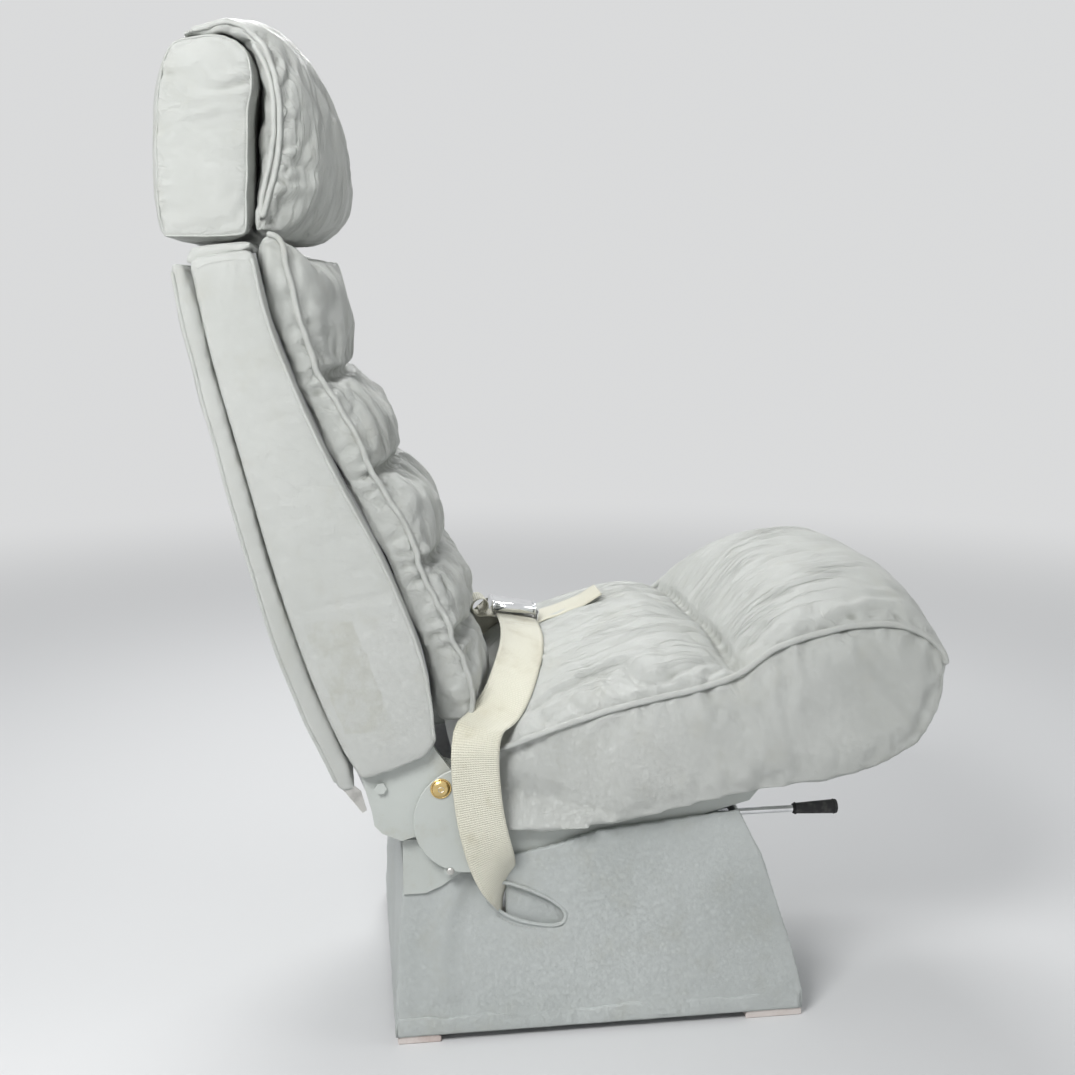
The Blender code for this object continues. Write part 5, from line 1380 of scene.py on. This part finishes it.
def ribbon(stations, cup, thick=0.0016, columns=14, step=0.0030):
    """A woven strap through rows of place, width direction and width, gently cupped.

    The cross section is an arc of the given angles, thinner at its two edges.
    Its UV map holds real lengths across and along the strap, so that the
    weave follows it.
    """
    rows = [np.concatenate([place, wide, [width, bow]])
            for (place, wide, width), bow in zip(stations, cup)]
    length = sum(np.linalg.norm(b[:3] - a[:3]) for a, b in zip(rows, rows[1:]))
    path = eased(np.array(rows), max(12, int(length / step)), rounds=3)
    ahead = np.gradient(path[:, :3], axis=0)
    ahead /= np.linalg.norm(ahead, axis=1)[:, None]
    gone = np.concatenate([[0], np.cumsum(np.linalg.norm(np.diff(path[:, :3], axis=0), axis=1))])
    wide = path[:, 3:6] - ahead * np.sum(path[:, 3:6] * ahead, axis=1)[:, None]
    wide /= np.linalg.norm(wide, axis=1)[:, None]
    deep = np.cross(ahead, wide)
    shares = np.linspace(-0.5, 0.5, columns)
    shares = np.concatenate([shares, shares[::-1]])
    off = np.repeat([thick / 2, -thick / 2], columns) * (1.0 - 0.55 * (np.abs(shares) > 0.49))
    bow = np.where(np.abs(path[:, 7]) > 1e-4, path[:, 7], 1e-4)[:, None]
    angle = 2 * bow * shares
    radius = path[:, 6:7] / (2 * bow)
    across = (radius + off) * np.sin(angle)
    lift = (radius + off) * np.cos(angle) - radius
    rings = path[:, None, :3] + wide[:, None] * across[..., None] + deep[:, None] * lift[..., None]
    plan = np.stack([shares * path[:, 6:7], np.broadcast_to(gone[:, None], across.shape)], axis=-1)
    mesh = bpy.data.meshes.new("strap")
    mesh.from_pydata(rings.reshape(-1, 3).tolist(), [], ring_faces(*rings.shape[:2]))
    chart = mesh.uv_layers.new(name="weave")
    corners = np.empty(len(mesh.loops), dtype=int)
    mesh.loops.foreach_get("vertex_index", corners)
    chart.data.foreach_set("uv", plan.reshape(-1, 2)[corners].reshape(-1))
    shell = bmesh.new()
    shell.from_mesh(mesh)
    bmesh.ops.recalc_face_normals(shell, faces=shell.faces)
    shell.to_mesh(mesh)
    shell.free()
    return mesh


BELT_WIDE = 0.0500
buckle_low, buckle_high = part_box("belt_buckle_body")
buckle_forward = MIDDLE_FORWARD - (buckle_low[1] + buckle_high[1]) / 2
seat_tree = BVHTree.FromObject(seat_cover, bpy.context.evaluated_depsgraph_get())


def seat_height(x, forward):
    """How high the covered cushion stands at a place, seen from above."""
    found, _, _, _ = seat_tree.ray_cast(spot(x, forward, 0.70), Vector((0, 0, -1)))
    return found.z if found else 0.0


def resting(x, forward, tilt, clear=0.0014):
    """Where a strap's middle lies across the cushion, and its width direction."""
    rises = [seat_height(x, forward + BELT_WIDE * share * math.cos(tilt))
             + BELT_WIDE * share * math.sin(tilt) for share in (-0.5, -0.25, 0, 0.25, 0.5)]
    return spot(x, forward, max(rises) + clear), Vector((0, -math.cos(tilt), -math.sin(tilt)))


BUCKLE_TILT = math.radians(11.0)

# Where the strap rises from its slot and over the cushion's edge: sideways
# place, forward, height, turn in degrees, width and cup.

BELT_RISE = [(0.1570, 0.1010, 0.1240, 78, 0.030, 0.25), (0.1620, 0.1010, 0.1400, 76, 0.033, 0.30),
             (0.1740, 0.1000, 0.1580, 72, 0.038, 0.35),
             (0.1905, 0.0965, 0.1750, 57, 0.045, 0.40), (0.2030, 0.0905, 0.1930, 36, 0.049, 0.30),
             (0.2110, 0.0845, 0.2130, 16, 0.050, 0.18), (0.2158, 0.0780, 0.2360, 5, 0.050, 0.10),
             (0.2166, 0.0710, 0.2680, 0, 0.050, 0.08), (0.2166, 0.0672, 0.3040, 0, 0.050, 0.07),
             (0.2164, 0.0662, 0.3300, 0, 0.050, 0.10), (0.2158, 0.0668, 0.3420, 0, 0.050, 0.10),
             (0.2120, 0.0685, 0.3530, 0, 0.050, 0.10), (0.2030, 0.0720, 0.3600, 0, 0.050, 0.10)]
for side, word in SIDES:
    stations, cups = [], []
    for x, forward, height, turn, width, bow in BELT_RISE:
        wide = Vector((-side * math.sin(math.radians(turn)), -math.cos(math.radians(turn)), 0))
        stations.append((spot(side * x, forward, height), wide, width))
        cups.append(bow * 0.6)
    half = (buckle_high[0] - buckle_low[0]) / 2
    middle_x = (buckle_low[0] + buckle_high[0]) / 2
    end = middle_x + side * (half - 0.004)
    for distance, forward in ((0.026, 0.0880), (0.040, 0.1000), (0.058, 0.1105), (0.085, 0.1210),
                              (0.120, 0.1310), (0.160, 0.1370), (0.200, buckle_forward)):
        at = side * 0.2090 - side * distance
        if side * (at - end) < 0.040:
            break
        place, wide = resting(at, forward, BUCKLE_TILT * min(1.0, distance / 0.120),
                              0.0020 + 0.0055 * max(0.0, 1 - distance / 0.045))
        stations.append((place, wide, BELT_WIDE))
        cups.append(0.05)
    low = (buckle_low[2] + buckle_high[2]) / 2 - 0.0022
    for x in (end + side * 0.026, end + side * 0.010, end, end - side * 0.004):
        stations.append((spot(x, buckle_forward, low),
                         Vector((0, -math.cos(BUCKLE_TILT), -math.sin(BUCKLE_TILT))), 0.0495))
        cups.append(0.0)
    strap = piece_of(f"belt_strap_{word}", ribbon(stations, cups), webbing, "base")
    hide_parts(f"belt_webbing_{word}")

    for row, back in enumerate((0.034, 0.043)):
        at = end + side * back
        line = [spot(at, forward, 0.70) for forward in
                np.linspace(buckle_forward - 0.021, buckle_forward + 0.021, 24)]
        tree_now = BVHTree.FromObject(strap, bpy.context.evaluated_depsgraph_get())
        hits = [tree_now.ray_cast(point, Vector((0, 0, -1)))[:2] for point in line]
        hits = [hit for hit in hits if hit[0] is not None]
        stitches(f"belt_stitching_{word}_{row + 1}", [hit[0][:] for hit in hits],
                 [hit[1][:] for hit in hits], thread, "base", 0.0032, 0.0024)

tail_low, tail_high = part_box("belt_tail")
tail_x = (tail_low[0] + tail_high[0]) / 2
stations, cups = [], []
for step in np.linspace(0.0, 1.0, 9):
    forward = MIDDLE_FORWARD - tail_high[1] - 0.012 + (tail_high[1] - tail_low[1] + 0.012) * step
    heights = [seat_height(tail_x + BELT_WIDE * share, forward) for share in (-0.5, 0, 0.5)]
    curl = 0.0100 * max(0.0, step - 0.72) / 0.28
    stations.append((spot(tail_x, forward, max(heights) + 0.0016 + curl), Vector((1, 0, 0.02)),
                     0.0500))
    cups.append(0.05 + 0.25 * step * step)
tail = piece_of("belt_tail_strap", ribbon(stations, cups), webbing, "base")
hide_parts("belt_tail")


# Buckle bar and keeper
# The near half of the belt is sewn round a plated bar at the buckle's end,
# and the spare webbing behind the buckle has curled up on itself, wound from
# the buckle's rear edge.

BAR_X = buckle_low[0] - 0.0035
BAR_TILT = math.radians(6.5)
BAR_RADIUS = 0.0056
BAR_HALF = 0.0235
bar_middle = np.array(spot(BAR_X, buckle_forward - 0.003, buckle_high[2] - 0.0035))
bar_way = np.array([0.0, -math.cos(BAR_TILT), -math.sin(BAR_TILT)])
bar_up = np.array([0.0, -math.sin(BAR_TILT), math.cos(BAR_TILT)])
bar_side = np.array([1.0, 0.0, 0.0])


def turned(profile, centre, steps=40):
    """A form turned about the bar's line, from rows of distance along it and radius."""
    angles = np.linspace(0, 2 * math.pi, steps, endpoint=False)
    circle = np.outer(np.cos(angles), bar_up) + np.outer(np.sin(angles), bar_side)
    return lattice([centre + bar_way * along + radius * circle for along, radius in profile])


BAR_PROFILE = [(-BAR_HALF - 0.0004, 0.0010), (-BAR_HALF, BAR_RADIUS * 0.86),
               (-BAR_HALF + 0.0006, BAR_RADIUS), (BAR_HALF - 0.0006, BAR_RADIUS),
               (BAR_HALF, BAR_RADIUS * 0.86), (BAR_HALF + 0.0004, 0.0010)]
piece_of("buckle_bar", turned(BAR_PROFILE, bar_middle), chrome, "base")
EAR_PROFILE = [(-0.0011, 0.0020), (-0.0010, 0.0066), (-0.0005, 0.0072), (0.0005, 0.0072),
               (0.0010, 0.0066), (0.0011, 0.0020)]
for number, end in enumerate((-1, 1)):
    centre = bar_middle + bar_way * end * (BAR_HALF + 0.0016)
    piece_of(f"buckle_ear_{number + 1}", turned(EAR_PROFILE, centre), chrome, "base")
    reach_in = np.linspace(0.0, 0.012, 6)[:, None]
    arm = centre + bar_side * reach_in - bar_up * reach_in * 0.35
    piece_of(f"buckle_arm_{number + 1}", tube(arm, 0.0026, 8, flat=0.5), chrome, "base")

CURL_MIDDLE = (0.0950, 0.4375)
CURL_X = 0.030
CURL_WIDE = 0.0300
CURL_WAY = Vector((1.0, 0.10, 0.05))
CURL_START = math.radians(-62)
CURL_TURN = math.radians(400)
CURL_RADII = (0.0128, 0.0070)
buckle_rear = MIDDLE_FORWARD - buckle_high[1]
buckle_half_height = (buckle_low[2] + buckle_high[2]) / 2
curl = [(spot(CURL_X, buckle_rear + 0.004, buckle_half_height), CURL_WAY, CURL_WIDE)]
for step in np.linspace(0.0, 1.0, 18):
    angle = CURL_START - CURL_TURN * step
    radius = CURL_RADII[0] + (CURL_RADII[1] - CURL_RADII[0]) * step
    forward = CURL_MIDDLE[0] + radius * math.cos(angle)
    height = CURL_MIDDLE[1] + radius * math.sin(angle)
    curl.append((spot(CURL_X, forward, height), CURL_WAY, CURL_WIDE))
cups = [0.02] * len(curl)
piece_of("belt_keeper_curl", ribbon(curl, cups, thick=0.0014, step=0.0020), webbing, "base")


# Slot linings
# Behind each belt slot a strip of the same leather lines the board, so that
# the webbing doesn't rub on metal.

LINING_FORWARD = np.linspace(0.101, 0.182, 28)
LINING_HEIGHT = np.linspace(0.118, 0.196, 24)
LINING_AT = 0.1853
LINING_THICK = 0.0012
rows, columns = len(LINING_FORWARD), len(LINING_HEIGHT)
forward, height = np.meshgrid(LINING_FORWARD, LINING_HEIGHT, indexing="ij")
bulge = 0.0007 * np.sin(forward * 90) * np.sin(height * 70)
number = np.arange(rows * columns).reshape(rows, columns)
front_faces = np.stack([number[:-1, :-1], number[:-1, 1:], number[1:, 1:], number[1:, :-1]],
                       axis=-1).reshape(-1, 4)
rim = np.concatenate([number[:-1, 0], number[-1, :-1], number[:0:-1, -1], number[0, :0:-1]])
after = np.roll(rim, -1)
rim_faces = np.stack([rim, after, after + rows * columns, rim + rows * columns], axis=-1)
faces = np.vstack([front_faces, front_faces + rows * columns, rim_faces]).tolist()
for side, word in SIDES:
    sheet = np.stack([side * (LINING_AT + bulge), MIDDLE_FORWARD - forward, height], axis=-1)
    points = np.vstack([sheet.reshape(-1, 3),
                        sheet.reshape(-1, 3) - np.array([side * LINING_THICK, 0, 0])])
    mesh = bpy.data.meshes.new("lining")
    mesh.from_pydata(points.tolist(), [], faces)
    piece_of(f"slot_lining_{word}", outward(mesh), skirt_leather, "base")


# Cushion topstitching
# A row of thread beside the seam round the cushion's nose, on each side.

NOSE_ROW = [(0.536, 0.448), (0.560, 0.435), (0.5705, 0.418), (0.5735, 0.400), (0.5715, 0.378),
            (0.5640, 0.356), (0.5520, 0.334), (0.5350, 0.3180)]
for side, word in SIDES:
    path, lie = laid(spots(side * 0.216, eased(NOSE_ROW, 60)), seat_cover, 0.0002)
    stitches(f"nose_stitching_{word}", path, lie, thread, "base")


# Rear lower corners
# The rear panel's frame ends in a pressed aluminium corner that shows below
# the leather on each side.

CORNER_LINE = [(-0.0600, 0.3080), (-0.0510, 0.3000), (-0.0455, 0.2790), (-0.0500, 0.2765),
               (-0.0600, 0.2900), (-0.0720, 0.3060)]
CORNER_FACES = (0.2080, 0.2092)
for side, word in SIDES:
    rings = [spots(side * x, CORNER_LINE) for x in CORNER_FACES]
    piece_of(f"rear_corner_{word}", lattice(rings), steel, "backrest",
             smooth=False)
